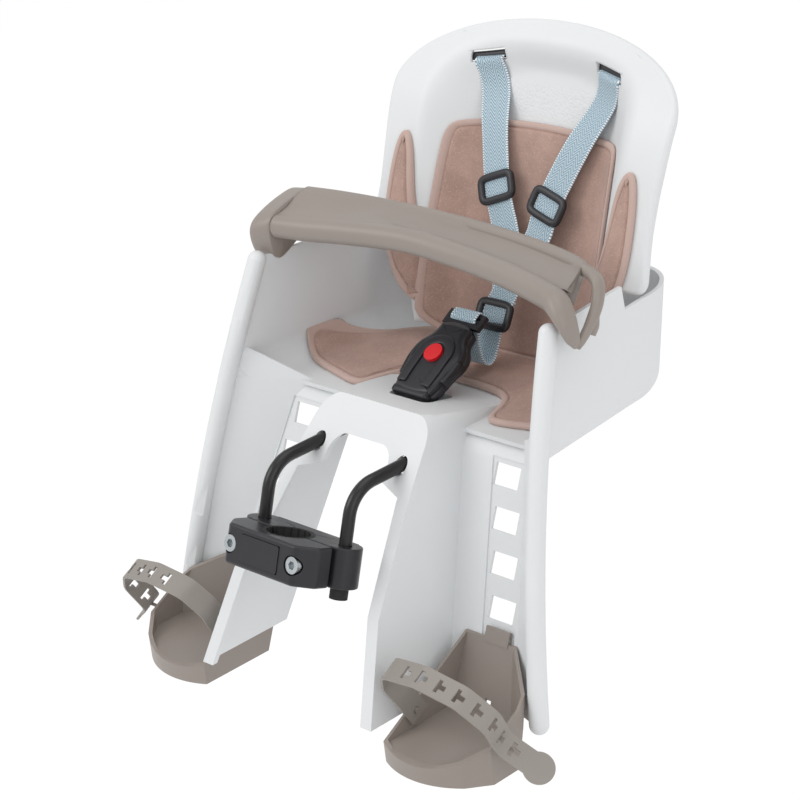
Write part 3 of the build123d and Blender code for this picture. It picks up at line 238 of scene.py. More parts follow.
def webbing(bsdf, blue, white):
    """Herringbone webbing: UV u runs across in widths (0 to 1), v along in metres."""
    u, v, _ = xyz(own_uv())
    fold = wave(u * 3.0)
    rows = wave(v * 330.0 + fold * 2.2)
    thread = rows.step(0.40, 0.58)
    selvage = ((u - 0.5).abs() * 2.0).step(0.87, 0.90)
    dots = wave(v * 500.0).step(0.35, 0.55)
    fleck = noise(coords(), 900.0, 2.0)
    weave = mix(blue, white, thread * (0.5 + fleck * 0.5))
    put(bsdf.inputs["Base Color"], mix(weave, mix(blue, (0.86, 0.88, 0.9), dots), selvage))
    bsdf.inputs["Roughness"].default_value = 0.8
    bsdf.inputs["Sheen Weight"].default_value = 0.15
    weft = wave(v * 840.0)
    put(bsdf.inputs["Normal"], bump(rows * 0.6 + weft * 0.3 + fold * 0.2, 0.55, 0.0004))


def paper(bsdf, colour):
    """Pale floor: most of what the camera sees of it is white, and it still takes the shadow."""
    bsdf.inputs["Base Color"].default_value = (*colour, 1.0)
    bsdf.inputs["Roughness"].default_value = 0.9
    glow = Sock.node("ShaderNodeEmission", sockets={"Strength": 1.04})
    seen = Sock(Sock.node("ShaderNodeLightPath").outputs["Is Camera Ray"])
    both = Sock.node("ShaderNodeMixShader", sockets={0: seen * 0.85, 1: bsdf.outputs[0], 2: glow.outputs[0]})
    return both.outputs[0]


SHELL = (0.74, 0.755, 0.765)
FINISHES = {
    "shell_white": (plastic, dict(colour=SHELL, grain=1100.0, depth=0.00016, vary=0.02)),
    "taupe_plastic": (plastic, dict(colour=(0.300, 0.258, 0.230), rough=0.40, vary=0.05)),
    "taupe_soft": (plastic, dict(colour=(0.300, 0.272, 0.246), rough=0.5, vary=0.05)),
    "black_plastic": (plastic, dict(colour=(0.016, 0.016, 0.020), rough=0.34, vary=0.2)),
    "black_rubber": (rubber, dict(colour=(0.012, 0.012, 0.012))),
    "black_steel": (plastic, dict(colour=(0.010, 0.010, 0.011), rough=0.3, vary=0.2)),
    "zinc_steel": (metal, dict(colour=(0.62, 0.66, 0.68), rough=0.28)),
    "pad_felt": (felt, dict(colour=(0.435, 0.292, 0.245))),
    "blue_webbing": (webbing, dict(blue=(0.20, 0.33, 0.42), white=(0.66, 0.74, 0.78))),
    "red_plastic": (plastic, dict(colour=(0.72, 0.012, 0.02), rough=0.32, vary=0.08)),
}
MATS = {name: material(name, build, **values) for name, (build, values) in FINISHES.items()}
DIMPLED = material("shell_white_dimpled", dimpled, colour=SHELL)

SLOT_OF = {s["node"]: s["material_slot"] for s in frame["record"]["subparts"]}
for name, obj in NODES.items():
    obj.data.materials.clear()
    obj.data.materials.append(MATS[SLOT_OF[name]])
    for p in obj.data.polygons:
        p.use_smooth = True
    obj.modifiers.new("smooth", "EDGE_SPLIT").split_angle = math.radians(28.0)


# Mesh building: every shape below is worked out in millimetres and becomes metres here
MM = 0.001
WELD = 2e-6


def quads(n, m, close_u, close_v, start):
    """Index quads of an n by m grid of points, row by row."""
    i, j = np.meshgrid(np.arange(n if close_u else n - 1), np.arange(m if close_v else m - 1), indexing="ij")
    i2, j2 = (i + 1) % n, (j + 1) % m
    return np.stack([i * m + j, i2 * m + j, i2 * m + j2, i * m + j2], -1).reshape(-1, 4) + start


def piece(name, patches, slot, body, replaces=(), wall=0.0, drop=None, outward=True, flip=False):
    """One mesh object from grid patches (points n by m by 3, closed along u, closed along v, uv or None).
    drop picks faces to leave out by their centres, and wall is the thickness of an open surface."""
    verts, faces, uvs = [], [], []
    start = 0
    for points, close_u, close_v, uv in patches:
        n, m = points.shape[:2]
        verts.append(points.reshape(-1, 3) * MM)
        faces.append(quads(n, m, close_u, close_v, start))
        uvs.append(np.zeros((n * m, 2)) if uv is None else uv.reshape(-1, 2))
        start += n * m
    verts, faces, uvs = np.vstack(verts), np.vstack(faces), np.vstack(uvs)
    if drop is not None:
        faces = faces[~drop(verts[faces].mean(1) / MM)]
    mesh = bpy.data.meshes.new(name)
    mesh.from_pydata(verts.tolist(), [], faces.tolist())
    layer = mesh.uv_layers.new(name="along")
    loops = np.empty(len(mesh.loops), dtype=np.int32)
    mesh.loops.foreach_get("vertex_index", loops)
    layer.data.foreach_set("uv", uvs[loops].ravel())
    work = bmesh.new()
    work.from_mesh(mesh)
    bmesh.ops.remove_doubles(work, verts=work.verts, dist=WELD)
    bmesh.ops.delete(work, geom=[v for v in work.verts if not v.link_faces], context="VERTS")
    if outward:
        bmesh.ops.recalc_face_normals(work, faces=work.faces)
    if flip:
        bmesh.ops.reverse_faces(work, faces=work.faces)
    work.to_mesh(mesh)
    work.free()
    mesh.polygons.foreach_set("use_smooth", np.ones(len(mesh.polygons), dtype=bool))
    obj = bpy.data.objects.new(name, mesh)
    bpy.context.scene.collection.objects.link(obj)
    obj.data.materials.append(MATS[slot])
    if wall:
        solid = obj.modifiers.new("wall", "SOLIDIFY")
        solid.thickness = wall * MM
        solid.offset = -1.0
    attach(obj, body)
    for node in replaces:
        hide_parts(node)
    return obj


def smoothstep(a, b, v):
    t = np.clip((v - a) / (b - a), 0.0, 1.0)
    return t * t * (3.0 - 2.0 * t)


def chaikin(points, rounds):
    """Corner cutting of a closed line: each side keeps its middle half, so corners turn into short curves."""
    p = np.asarray(points, float)
    for _ in range(rounds):
        q = np.roll(p, -1, 0)
        p = np.stack([0.75 * p + 0.25 * q, 0.25 * p + 0.75 * q], 1).reshape(-1, p.shape[1])
    return p


def unit(v):
    return v / np.maximum(np.linalg.norm(v, axis=-1, keepdims=True), 1e-12)


def path_length(path):
    """Distance along a path, from 0 at its first point."""
    return np.r_[0.0, np.cumsum(np.linalg.norm(np.diff(path, axis=0), axis=1))]


def resample(points, n, closed=False):
    """n points spaced evenly along a line."""
    p = np.asarray(points, float)
    if closed:
        p = np.vstack([p, p[:1]])
    run = path_length(p)
    at = np.linspace(0.0, run[-1], n + 1)[:-1] if closed else np.linspace(0.0, run[-1], n)
    return np.stack([np.interp(at, run, p[:, k]) for k in range(p.shape[1])], -1)


def across_and_up(path, side, closed=False):
    """Across and up directions of a path, with across kept near the given side."""
    if closed:
        along = unit(np.roll(path, -1, 0) - np.roll(path, 1, 0))
    else:
        along = unit(np.gradient(path, axis=0))
    side = np.broadcast_to(np.asarray(side, float), path.shape)
    across = unit(side - along * (side * along).sum(-1, keepdims=True))
    return across, np.cross(across, along)


def capped(grid):
    """The grid with a first and a last row added at the middles of its ends, which closes it."""
    first, last = (np.broadcast_to(row.mean(0), row.shape)[None] for row in (grid[0], grid[-1]))
    return np.concatenate([first, grid, last])


def sweep(path, section, side, closed=False):
    """Section (m by 2, or n by m by 2 for a changing one) carried along a path; open ends are capped."""
    across, up = across_and_up(path, side, closed)
    section = np.broadcast_to(section, (len(path),) + np.asarray(section).shape[-2:])
    grid = path[:, None] + across[:, None] * section[..., :1] + up[:, None] * section[..., 1:]
    return grid if closed else capped(grid)


def oval(half_a, half_b, power, n):
    """Superellipse |x/a|^p + |y/b|^p = 1."""
    t = np.linspace(0.0, 2.0 * math.pi, n, endpoint=False)
    c, s = np.cos(t), np.sin(t)
    e = 2.0 / power
    return np.stack([half_a * np.sign(c) * abs(c) ** e, half_b * np.sign(s) * abs(s) ** e], -1)


def curve(points, n):
    """Smooth line through points: a Catmull-Rom cubic between each pair, then evenly spaced."""
    p = np.asarray(points, float)
    p = np.vstack([2 * p[:1] - p[1:2], p, 2 * p[-1:] - p[-2:-1]])
    t = np.linspace(0.0, 1.0, 24, endpoint=False)[:, None, None]
    a, b, c, d = p[:-3], p[1:-2], p[2:-1], p[3:]
    q = 0.5 * (2 * b + (c - a) * t + (2 * a - 5 * b + 4 * c - d) * t ** 2 + (3 * b - a - 3 * c + d) * t ** 3)
    q = np.vstack([q.transpose(1, 0, 2).reshape(-1, p.shape[1]), p[-2:-1]])
    return resample(q, n)


# Backrest: x across, w up along the lip's plane, d back from that plane. Above SPRING its outline is an
# ellipse CROWN high and it leans further back by CROWN_SLOPE; EAR and TONGUE are its lower ends
LEAN = math.radians(20.0)
LIP_Y, LIP_Z = 262.0, 160.0
HALF, SPRING, CROWN, CROWN_SLOPE = 148.6, 108.4, 67.4, 0.436
EAR, TONGUE, TRAY = -18.0, -80.0, 30.0
MOUTH_HALF, MOUTH_SPRING, MOUTH_RISE, MOUTH_POWER = 114.0, 98.0, 66.0, 2.8
RIM = 4.0                                    # radius of the rim's rounding
REST_WALL = 3.2
SLOT_X, SLOT_W, SLOT_TILT = 64.0, 141.0, 0.21
SLOT_HALF_WIDTH, SLOT_HALF_HEIGHT = 15.5, 4.5


def rest(x, w, d):
    """Point of the backrest's frame in the row frame."""
    x, w, d = np.broadcast_arrays(np.asarray(x, float), w, d)
    return np.stack([x, LIP_Y + w * math.sin(LEAN) + d * math.cos(LEAN),
                     LIP_Z + w * math.cos(LEAN) - d * math.sin(LEAN)], -1)


def rest_depth(x, w):
    """Front surface of the backrest: the lip's plane, leaning back above the spring line by a soft ramp,
    and inside a superelliptic mouth an S-curve down to the tray's floor."""
    ramp = 9.0 * np.log1p(np.exp(np.clip((w - SPRING) / 9.0, -30, 30)))
    lip = CROWN_SLOPE * ramp - 2.5 - 1.0 * (1.0 - smoothstep(50.0, 105.0, w))
    high = np.maximum(w - MOUTH_SPRING, 0.0) / MOUTH_RISE
    r = ((abs(x) / MOUTH_HALF) ** MOUTH_POWER + high ** MOUTH_POWER) ** (1.0 / MOUTH_POWER)
    dish = smoothstep(0.0, 0.46, 1.0 - r)
    return lip + (TRAY - np.minimum(lip, TRAY)) * dish


def rest_half(w, inset):
    """Half width of the outline inset by some millimetres: an ellipse above the spring line, a slight
    waist below it, and a rounded lower corner at the ear."""
    sides = HALF - 3.2 * (1.0 - smoothstep(30.0, SPRING, w)) * smoothstep(-20.0, 30.0, w)
    arch = np.sqrt(np.clip(1.0 - (np.maximum(w - SPRING, 0.0) / (CROWN - inset)) ** 2, 0.0, 1.0))
    corner = 7.0
    low = np.clip(EAR + inset + corner - w, 0.0, corner)
    cut = corner - np.sqrt(np.maximum(corner ** 2 - low ** 2, 0.0))
    return (sides - inset) * arch - cut


def slot_shift(x, w):
    """Shear of the mesh rows round the strap slots, which tilt down towards the sides."""
    near = 1.0 - smoothstep(17.0, 30.0, abs(abs(x) - SLOT_X))
    near = near * (1.0 - smoothstep(7.0, 17.0, abs(w - SLOT_W)))
    return -SLOT_TILT * (abs(x) - SLOT_X) * near


def slots(c):
    """True for the faces inside the two strap slots."""
    up = (c[:, 1] - LIP_Y) * math.sin(LEAN) + (c[:, 2] - LIP_Z) * math.cos(LEAN)
    up = up + SLOT_TILT * (abs(c[:, 0]) - SLOT_X)
    return (abs(abs(c[:, 0]) - SLOT_X) < SLOT_HALF_WIDTH) & (abs(up - SLOT_W) < SLOT_HALF_HEIGHT)


def rest_shell():
    """Backrest: rows from ear to crown and columns that keep to the outline, with extra rows and columns at
    the slots' edges; a ring round the rim; and the tongue that goes down into the bucket."""
    fall = np.array([0.0, 1.0, 2.5, 4.5, 7.0])
    t = np.linspace(0.0, math.pi / 2, 44)
    rows = np.r_[EAR + RIM + fall, np.linspace(EAR + RIM + 12.0, SPRING, 44),
                 SPRING + (CROWN - RIM) * np.sin(t[1:]), SLOT_W - SLOT_HALF_HEIGHT, SLOT_W + SLOT_HALF_HEIGHT]
    rows = np.unique(rows.round(5))
    middle = 95.0
    slot_edges = SLOT_X + SLOT_HALF_WIDTH * np.array([-1.0, 1.0])
    inner = np.unique(np.r_[np.linspace(-middle, middle, 55), slot_edges, -slot_edges]) / middle
    outer = np.linspace(0.0, 1.0, 20)[1:]
    a = rest_half(rows, RIM)
    zone = np.minimum(middle, 0.80 * a)
    side = zone[:, None] + (a - zone)[:, None] * outer[None]
    x = np.concatenate([-side[:, ::-1], inner[None] * zone[:, None], side], 1)
    w = rows[:, None] + slot_shift(x, rows[:, None])
    main = rest(x, w, rest_depth(x, w))
    # ring: the boundary carried round the rim by a quarter circle and a short return
    foot = x[0][x[0] > 104.0][:-1]
    foot_r = np.stack([foot, np.full(len(foot), rows[0])], -1)
    right = np.stack([x[:, -1], rows], -1)
    left = np.stack([x[:, 0], rows], -1)[::-1]
    foot_l = foot_r[::-1] * (-1.0, 1.0)
    line = np.vstack([foot_r, right, left[1:], foot_l])
    run = np.gradient(line, axis=0)
    normal = unit(np.stack([run[:, 1], -run[:, 0]], -1))
    phi = np.linspace(0.0, math.pi / 2, 8)
    out = np.r_[RIM * np.sin(phi), RIM, RIM - 0.6]
    back = np.r_[RIM * (1.0 - np.cos(phi)), RIM + 1.0, RIM + 2.0]
    spot = line[:, None] + normal[:, None] * out[None, :, None]
    base = rest_depth(line[:, 0], line[:, 1])
    ring = rest(spot[..., 0], spot[..., 1], base[:, None] + back[None])
    obj = piece("backrest", [(main, False, False, None), (ring, False, False, None)], "shell_white", "seat",
                replaces=("backrest_shell",), wall=REST_WALL, drop=slots, outward=False, flip=True)
    obj.data.materials[0] = DIMPLED
    # tongue: the same surface carried down into the bucket
    tw = np.linspace(TONGUE, rows[0], 24)
    th = np.interp(tw, [TONGUE, EAR, rows[0]], [94.0, 107.0, 107.0])
    tx = th[:, None] * np.linspace(-1.0, 1.0, 61)[None]
    tongue = rest(tx, tw[:, None], rest_depth(tx, tw[:, None]))
    piece("backrest_tongue", [(tongue, False, False, None)], "shell_white", "seat", wall=REST_WALL,
          outward=False, flip=True)


# Pad: felt plates with an embossed border, laid on the backrest and the pan
PAD_STEPS = (0.0, 0.0, 0.5, 1.4, 3.0, 4.6, 5.1, 5.9, 6.5, 7.6)
PAD_LEVELS = (0.10, 0.50, 0.80, 0.88, 0.90, 0.88, 0.68, 0.68, 0.94, 1.0)


def plate(outline, spine, place, steps, levels, low, n=220, rounds=3):
    """Closed plate: rings step in from the outline at the given levels, then shrink towards a spine line;
    the underside closes on the same line. Returns the grid and its UV (u is the step in centimetres)."""
    edge = resample(chaikin(outline, rounds), n, True)
    run = np.roll(edge, -1, 0) - np.roll(edge, 1, 0)
    normal = unit(np.stack([run[:, 1], -run[:, 0]], -1))
    area = (edge[:, 0] * np.roll(edge[:, 1], -1) - np.roll(edge[:, 0], -1) * edge[:, 1]).sum()
    normal = normal if area > 0 else -normal
    rings = edge[None] - normal[None] * np.array(steps)[:, None, None]
    core = spine(edge[:, 0], edge[:, 1])
    count = 25
    shrink = np.linspace(1.0, 0.0, count + 1)[1:, None, None]
    under = core + (rings[0][None] - core) * shrink[::-1]
    flat = np.concatenate([under, rings, core + (rings[-1][None] - core) * shrink])
    high = np.r_[np.full(count, low), levels, np.full(count, levels[-1])]
    grid = place(flat[..., 0], flat[..., 1], np.broadcast_to(high[:, None], flat.shape[:2]))
    inward = np.r_[np.zeros(count), steps, np.full(count, 20.0)] / 10.0
    return grid, np.stack([np.broadcast_to(inward[:, None], flat.shape[:2]), np.zeros(flat.shape[:2])], -1)


def on_rest(x, w, h):
    """h above the backrest's front surface."""
    return rest(x, w, rest_depth(x, w) - h)


PANEL = [(-92, 55), (-90, 80), (-82, 88), (-45, 93), (0, 95), (45, 93), (82, 88), (90, 80), (92, 55),
         (93, 20), (94, -10), (95, -40), (92, -93), (-92, -93), (-95, -40), (-94, -10), (-93, 20)]
WING = [(95, -2), (101, 8), (105.5, 30), (109, 54), (114, 68), (120, 73.5), (126, 68), (130, 50), (131.5, 20),
        (130.5, -2), (126, -22), (114, -42), (100, -60), (90, -66), (89, -34), (90, -8)]
PAN_TOP, PAN_REAR, PAN_FILLET = 62.0, 280.5, 20.5


def fillet_rise(beyond):
    """Height of the pan's quarter-round fillet, a distance beyond its start."""
    t = np.clip(beyond, 0.0, PAN_FILLET * 0.995)
    return PAN_FILLET - np.sqrt(PAN_FILLET * PAN_FILLET - t * t)


def pan_height(x, y):
    """Top of the pan: flat, with the bucket's fillet rising to the side and rear walls."""
    wall = 171.5 - 0.175 * (y - 104.0) - 3.5
    return PAN_TOP + np.maximum(fillet_rise(abs(x) - (wall - PAN_FILLET)),
                                fillet_rise(y - (PAN_REAR - PAN_FILLET)))


def on_pan(x, y, h):
    """h above the pan."""
    return np.stack([x, y, pan_height(x, y) + h], -1)


SEAT_HALF = [(40, 197), (55, 188), (62, 174), (67, 157), (78, 152), (104, 159), (132, 166), (154, 175),
             (159, 184), (154, 204), (136, 236), (114, 262), (96, 270)]
SEAT = [(0, 199)] + SEAT_HALF + [(0, 272)] + [(-x, y) for x, y in reversed(SEAT_HALF)]


def on_line(v, ends, pitch):
    """Place along a plate's spine, kept within its ends and rounded to the pitch."""
    return np.round(np.clip(v, *ends) / pitch) * pitch


def felt_pad():
    """The four felt plates. Each spine is the line that its middle closes on."""
    def wing(x, w):
        w = on_line(w, (-50.0, 60.0), 5.0)
        line = np.interp(w, [-60.0, -30.0, 0.0, 30.0, 74.0], [95.0, 107.0, 113.0, 118.0, 120.0])
        return np.stack([np.sign(x) * line, w], -1)

    def panel(x, w):
        return np.stack([0.0 * x, on_line(w, (-50.0, 50.0), 5.0)], -1)

    def pan(x, y):
        return np.stack([on_line(x * 0.74, (-96.0, 96.0), 6.0), 234.0 + 0.0 * y], -1)

    left = [(-x, w) for x, w in reversed(WING)]
    parts = [("pad_back", PANEL, panel, on_rest, 5.0), ("pad_wing_right", WING, wing, on_rest, 4.6),
             ("pad_wing_left", left, wing, on_rest, 4.6), ("pad_seat", SEAT, pan, on_pan, 5.4)]
    for name, outline, spine, place, thick in parts:
        grid, uv = plate(outline, spine, place, PAD_STEPS, np.array(PAD_LEVELS) * thick, 0.1 * thick)
        obj = piece(name, [(grid, False, True, uv)], "pad_felt", "seat",
                    replaces=("seat_liner",) if name == "pad_back" else ())


# Webbing, sliders and retainers
WEBBING_WALL = 1.7


def strap(name, path, replaces, width=26.5, side=(1.0, 0.0, 0.0)):
    """Webbing: a flat superellipse section, its UV running across in widths and along in metres."""
    section = oval(width / 2.0, WEBBING_WALL / 2.0, 5.0, 32)
    grid = sweep(path, section, side)
    run = path_length(path) * MM
    run = np.r_[run[0], run, run[-1]]
    u = section[:, 0] / width + 0.5
    uv = np.stack([np.broadcast_to(u, grid.shape[:2]), np.broadcast_to(run[:, None], grid.shape[:2])], -1)
    piece(name, [(grid, False, True, uv)], "blue_webbing", "seat", replaces=replaces)


def slider(name, centre, along, node):
    """Slider: a rounded rectangular frame swept by an oval, with a bar across that the webbing covers."""
    along = unit(np.asarray(along, float))
    side = unit(np.array([1.0, 0.0, 0.0]) - along * along[0])
    up = np.cross(side, along)
    a, b = 15.7, 9.6                         # half sizes of the frame's centre line
    t = oval(a, b, 5.5, 96)
    path = centre + t[:, :1] * side + t[:, 1:] * along
    ring = sweep(path, oval(2.4, 3.1, 3.0, 20), np.broadcast_to(up, path.shape), closed=True)
    bar = centre + np.linspace(-a, a, 6)[:, None] * side + up * 2.2
    cross = sweep(bar, oval(2.6, 1.6, 2.6, 16), along)
    piece(name, [(ring, True, True, None), (cross, False, True, None)], "black_plastic", "seat",
          replaces=(node,))


JOIN = np.array([3.0, 240.5, 107.0])


def out_of_slot(sign):
    """Where a shoulder strap comes through its slot and turns down over the dish."""
    spots = [(SLOT_X, 140.8, -13.0), (SLOT_X, 140.6, -4.0), (63.6, 137.0, 1.8), (60.8, 127.0, 2.6),
             (56.5, 114.0, 3.8)]
    return [on_rest(sign * x, w, h) for x, w, h in spots]


def harness():
    """Two shoulder straps that cross at the join, their sliders and anchors, the strap from the join round
    the buckle's bar, and the crotch strap's end."""
    left = out_of_slot(-1.0) + [rest(-45.0, 85.0, 18.5), rest(-29.7, 39.5, 14.5), rest(-14.0, 7.0, 13.5),
                                [-2.0, 262.0, 143.0], [6.5, 249.0, 122.0], JOIN + [0.0, 1.2, 0.0],
                                JOIN + [0.0, -2.0, -7.0]]
    right = out_of_slot(1.0) + [rest(44.0, 80.0, 17.5), rest(27.0, 33.0, 13.0), rest(24.0, 9.0, 10.5),
                                [17.5, 261.0, 147.0], [8.5, 246.5, 123.0], JOIN + [0.5, -1.3, 1.0],
                                JOIN + [0.5, -4.5, -6.0]]
    tilt = 1.0 - smoothstep(0.12, 0.35, np.linspace(0.0, 1.0, 150))[:, None]
    for name, points, sign in (("left", left, -1.0), ("right", right, 1.0)):
        strap("webbing_" + name, curve(points, 150), ("shoulder_strap_" + name,),
              side=np.array([1.0, 0.0, 0.0]) - tilt * np.array([0.0, 0.25, 0.12]) * sign)
    slider("slider_left", rest(-29.7, 39.5, 13.2), rest(-14.0, 7.0, 13.5) - rest(-45.0, 85.0, 17.5),
           "strap_slider_left")
    slider("slider_right", rest(27.0, 33.0, 11.8), rest(24.0, 9.0, 10.5) - rest(44.0, 80.0, 16.5),
           "strap_slider_right")
    for name, sign in (("left", -1.0), ("right", 1.0)):
        x = sign * SLOT_X + np.linspace(-18.0, 18.0, 14)
        bar = on_rest(x, SLOT_W + 1.0 - sign * SLOT_TILT * (x - sign * SLOT_X), -5.6)
        piece("anchor_" + name, [(sweep(bar, oval(3.4, 2.6, 3.0, 20), (0.0, 0.34, 0.94)), False, True, None)],
              "black_plastic", "seat", replaces=("strap_anchor_" + name,))
    slider("slider_join", JOIN + [0.2, -2.6, 0.8], [0.0, -9.0, -16.0], "strap_slider_join")
    x = JOIN[0] - 3.3
    low = [[x, 236.4, 98.5], [x, 229.0, 83.0], [x, 224.0, 75.8], [x, 218.5, 74.2], [x, 213.0, 79.0],
           [x, 209.8, 95.0]]
    wrap = [(38.0, -5.5), (43.5, -3.6), (47.6, -0.4), (46.4, 3.2), (42.5, 3.9), (38.6, 3.3), (36.9, 0.6)]
    low += [buckle_spot(x, a, h) for a, h in wrap]
    strap("webbing_lower", curve(low, 110), ("lower_strap",))
    crotch = [(0.0, 160.9, 75.1), (0.0, 160.4, 72.1), (0.0, 156.6, 65.5), (0.0, 154.0, 60.5),
              (0.0, 154.0, 50.2)]
    strap("webbing_crotch", curve(crotch, 40), ("crotch_strap",), width=25.0)


BUCKLE_ALONG = np.array([0.0, 0.857, 0.515])
BUCKLE_UP = np.array([0.0, -0.515, 0.857])


def buckle_spot(x, along, lift):
    """Point of the buckle's plane: x across, along it, lift off its middle."""
    x, along, lift = np.broadcast_arrays(np.asarray(x, float), along, lift)
    spot = along[..., None] * BUCKLE_ALONG + lift[..., None] * BUCKLE_UP + (0.0, 176.4, 92.0)
    spot[..., 0] = x
    return spot


def buckle_case():
    """Buckle: a round-headed case with a parting groove, a raised horseshoe round the button, release tabs
    at the sides and a flange at the lower end."""
    half = [(15.2, 33), (15.8, 22), (18.5, 16.5), (23.5, 11), (26.0, 3), (25.5, -4), (23.0, -9), (21.0, -22),
            (20.5, -27), (17.0, -38)]
    outline = half + [(-x, a) for x, a in reversed(half)]
    steps = (1.5, 0.4, 0.0, 0.0, 0.6, 0.6, 0.0, 0.0, 0.5, 1.6, 3.4, 5.0)
    lifts = (-8.0, -7.4, -6.0, -0.9, -0.7, -0.1, 0.1, 3.4, 4.7, 5.6, 6.3, 6.6)

    def spine(x, along):
        return np.stack([0.0 * x, np.clip(along, -24.0, 20.0)], -1)

    case, _ = plate(outline, spine, buckle_spot, steps, lifts, -8.0, 160, 2)
    turn = np.radians(np.linspace(-8.0, 188.0, 30))
    arc = np.stack([13.6 * np.cos(turn), 13.6 * np.sin(turn)], -1)
    line = np.vstack([[(12.8, -30.0), (13.6, -16.0)], arc, [(-13.6, -16.0), (-12.8, -30.0)]])
    line = resample(line, 70)
    across = unit(np.cross(unit(np.gradient(buckle_spot(line[:, 0], line[:, 1], 0.0), axis=0)), BUCKLE_UP))
    shoe = sweep(buckle_spot(line[:, 0], line[:, 1], 6.9), oval(4.3, 1.5, 4.0, 20), across)
    parts = [(case, False, True, None), (shoe, False, True, None)]
    for side in (-1.0, 1.0):
        tab = buckle_spot(side * np.array([24.4, 24.2, 23.0, 21.6]), np.array([0.0, -7.0, -14.0, -21.0]), 0.6)
        parts.append((sweep(resample(tab, 16), oval(2.4, 4.2, 3.2, 20), (1.0, 0.0, 0.0)), False, True, None))
    foot = buckle_spot(np.linspace(-17.5, 17.5, 14), -36.0, -0.4)
    parts.append((sweep(foot, oval(3.4, 6.6, 4.0, 24), BUCKLE_ALONG), False, True, None))
    piece("buckle_case", parts, "black_plastic", "seat", replaces=("buckle_body", "buckle_back"))


# Bar over the lap: x, then the front point, crest and rear edge of its section as (y, z)
BAR = [(-150.0, (150.0, 171.5), (153.0, 191.5), (198.0, 203.0)),
       (-120.0, (154.5, 174.0), (158.0, 192.0), (207.0, 201.0)),
       (-80.0, (163.0, 178.5), (167.5, 193.0), (217.0, 197.5)),
       (-23.0, (170.5, 183.0), (180.0, 194.0), (224.5, 193.5)),
       (30.0, (169.0, 182.5), (186.0, 192.0), (223.5, 192.0)),
       (86.0, (161.0, 179.0), (177.0, 190.5), (216.0, 191.5)),
       (133.0, (149.0, 173.0), (163.0, 189.5), (204.0, 192.0)),
       (160.0, (141.0, 168.5), (155.0, 188.0), (192.0, 193.0)),
       (170.0, (138.5, 165.0), (151.0, 186.0), (184.0, 190.0))]
NOSE = 9.6                                   # radius of the tube along its front


def bar_keys(at):
    """Front point, crest and rear edge at any x, by cubic curves through the stations."""
    x = np.array([row[0] for row in BAR])
    keys = np.array([[*nose, *crest, *rear] for _, nose, crest, rear in BAR])
    line = curve(np.column_stack([x, keys]), 400)
    k = np.stack([np.interp(at, line[:, 0], line[:, j]) for j in range(1, 7)], -1)
    return k[:, 0:2], k[:, 2:4], k[:, 4:6]


def bar_band():
    """Band across the lap: an arc round the nose tube, a crease, a sunken deck and a rear rim; towards the
    hinge the deck fills up to a straight slope. The free end is cut on the slant beside the window."""
    at = np.linspace(-150.0, 157.0, 110)
    nose, crest, rear = bar_keys(at)
    sunk = smoothstep(-75.0, 5.0, at)[:, None]
    y, z = np.array([1.0, 0.0]), np.array([0.0, 1.0])
    centre = np.stack([nose[:, 0] + NOSE, crest[:, 1] - NOSE], -1)

    def arc(deg):
        turn = math.radians(deg)
        return centre + (NOSE - 0.25) * np.array([math.cos(turn), math.sin(turn)])

    start = arc(95.0)
    points = [arc(d) for d in (235.0, 215.0, 195.0, 175.0, 155.0, 135.0, 115.0, 95.0)]
    points += [arc(d) * sunk + (start + (rear - start) * t) * (1.0 - sunk)
               for d, t in ((72.0, 0.08), (48.0, 0.16), (24.0, 0.24))]
    crease = (arc(24.0) + y * 0.8 - z * 1.6) * sunk + (start + (rear - start) * 0.30) * (1.0 - sunk)
    foot = rear - y * 12.0 - z * (0.6 + 4.6 * sunk)
    points += [crease] + [crease + (foot - crease) * t - z * 0.5 * sunk for t in (0.35, 0.72)] + [foot]
    points += [rear - y * 8.0 + z * 0.1, rear - y * 3.0 + z * 0.8, rear, rear + y * 1.0 - z * 2.5,
               rear - y * 1.5 - z * 11.0]
    belly = np.stack([nose[:, 0] + 17.0, np.maximum(nose[:, 1] - 1.5, 171.0)], -1)
    points += [(points[-1] + belly) / 2.0 + z * 1.0, belly]
    rounded = np.stack([chaikin(r, 2) for r in np.stack(points, 1)])
    slant = smoothstep(120.0, 157.0, at)[:, None] * np.clip((180.0 - rounded[..., 0]) * 0.45, -4.0, 14.0)
    slant = slant * smoothstep(10.0, 21.0, rounded[..., 0] - nose[:, :1])
    middle = rounded.mean(1, keepdims=True)
    draw_in = np.interp(at, [152.0, 154.5, 157.0], [1.0, 0.97, 0.86])[:, None, None]
    rounded = middle + (rounded - middle) * draw_in
    return capped(np.concatenate([(at[:, None] + slant)[..., None], rounded], -1))


def tapered(path, at, wide, high, side):
    """Sweep whose half sizes follow tables over the share of the path's length."""
    t = np.linspace(0.0, 1.0, len(path))
    size = np.stack([np.interp(t, at, wide), np.interp(t, at, high)], -1)
    return sweep(path, oval(1.0, 1.0, 2.3, 36)[None] * size[:, None], side)


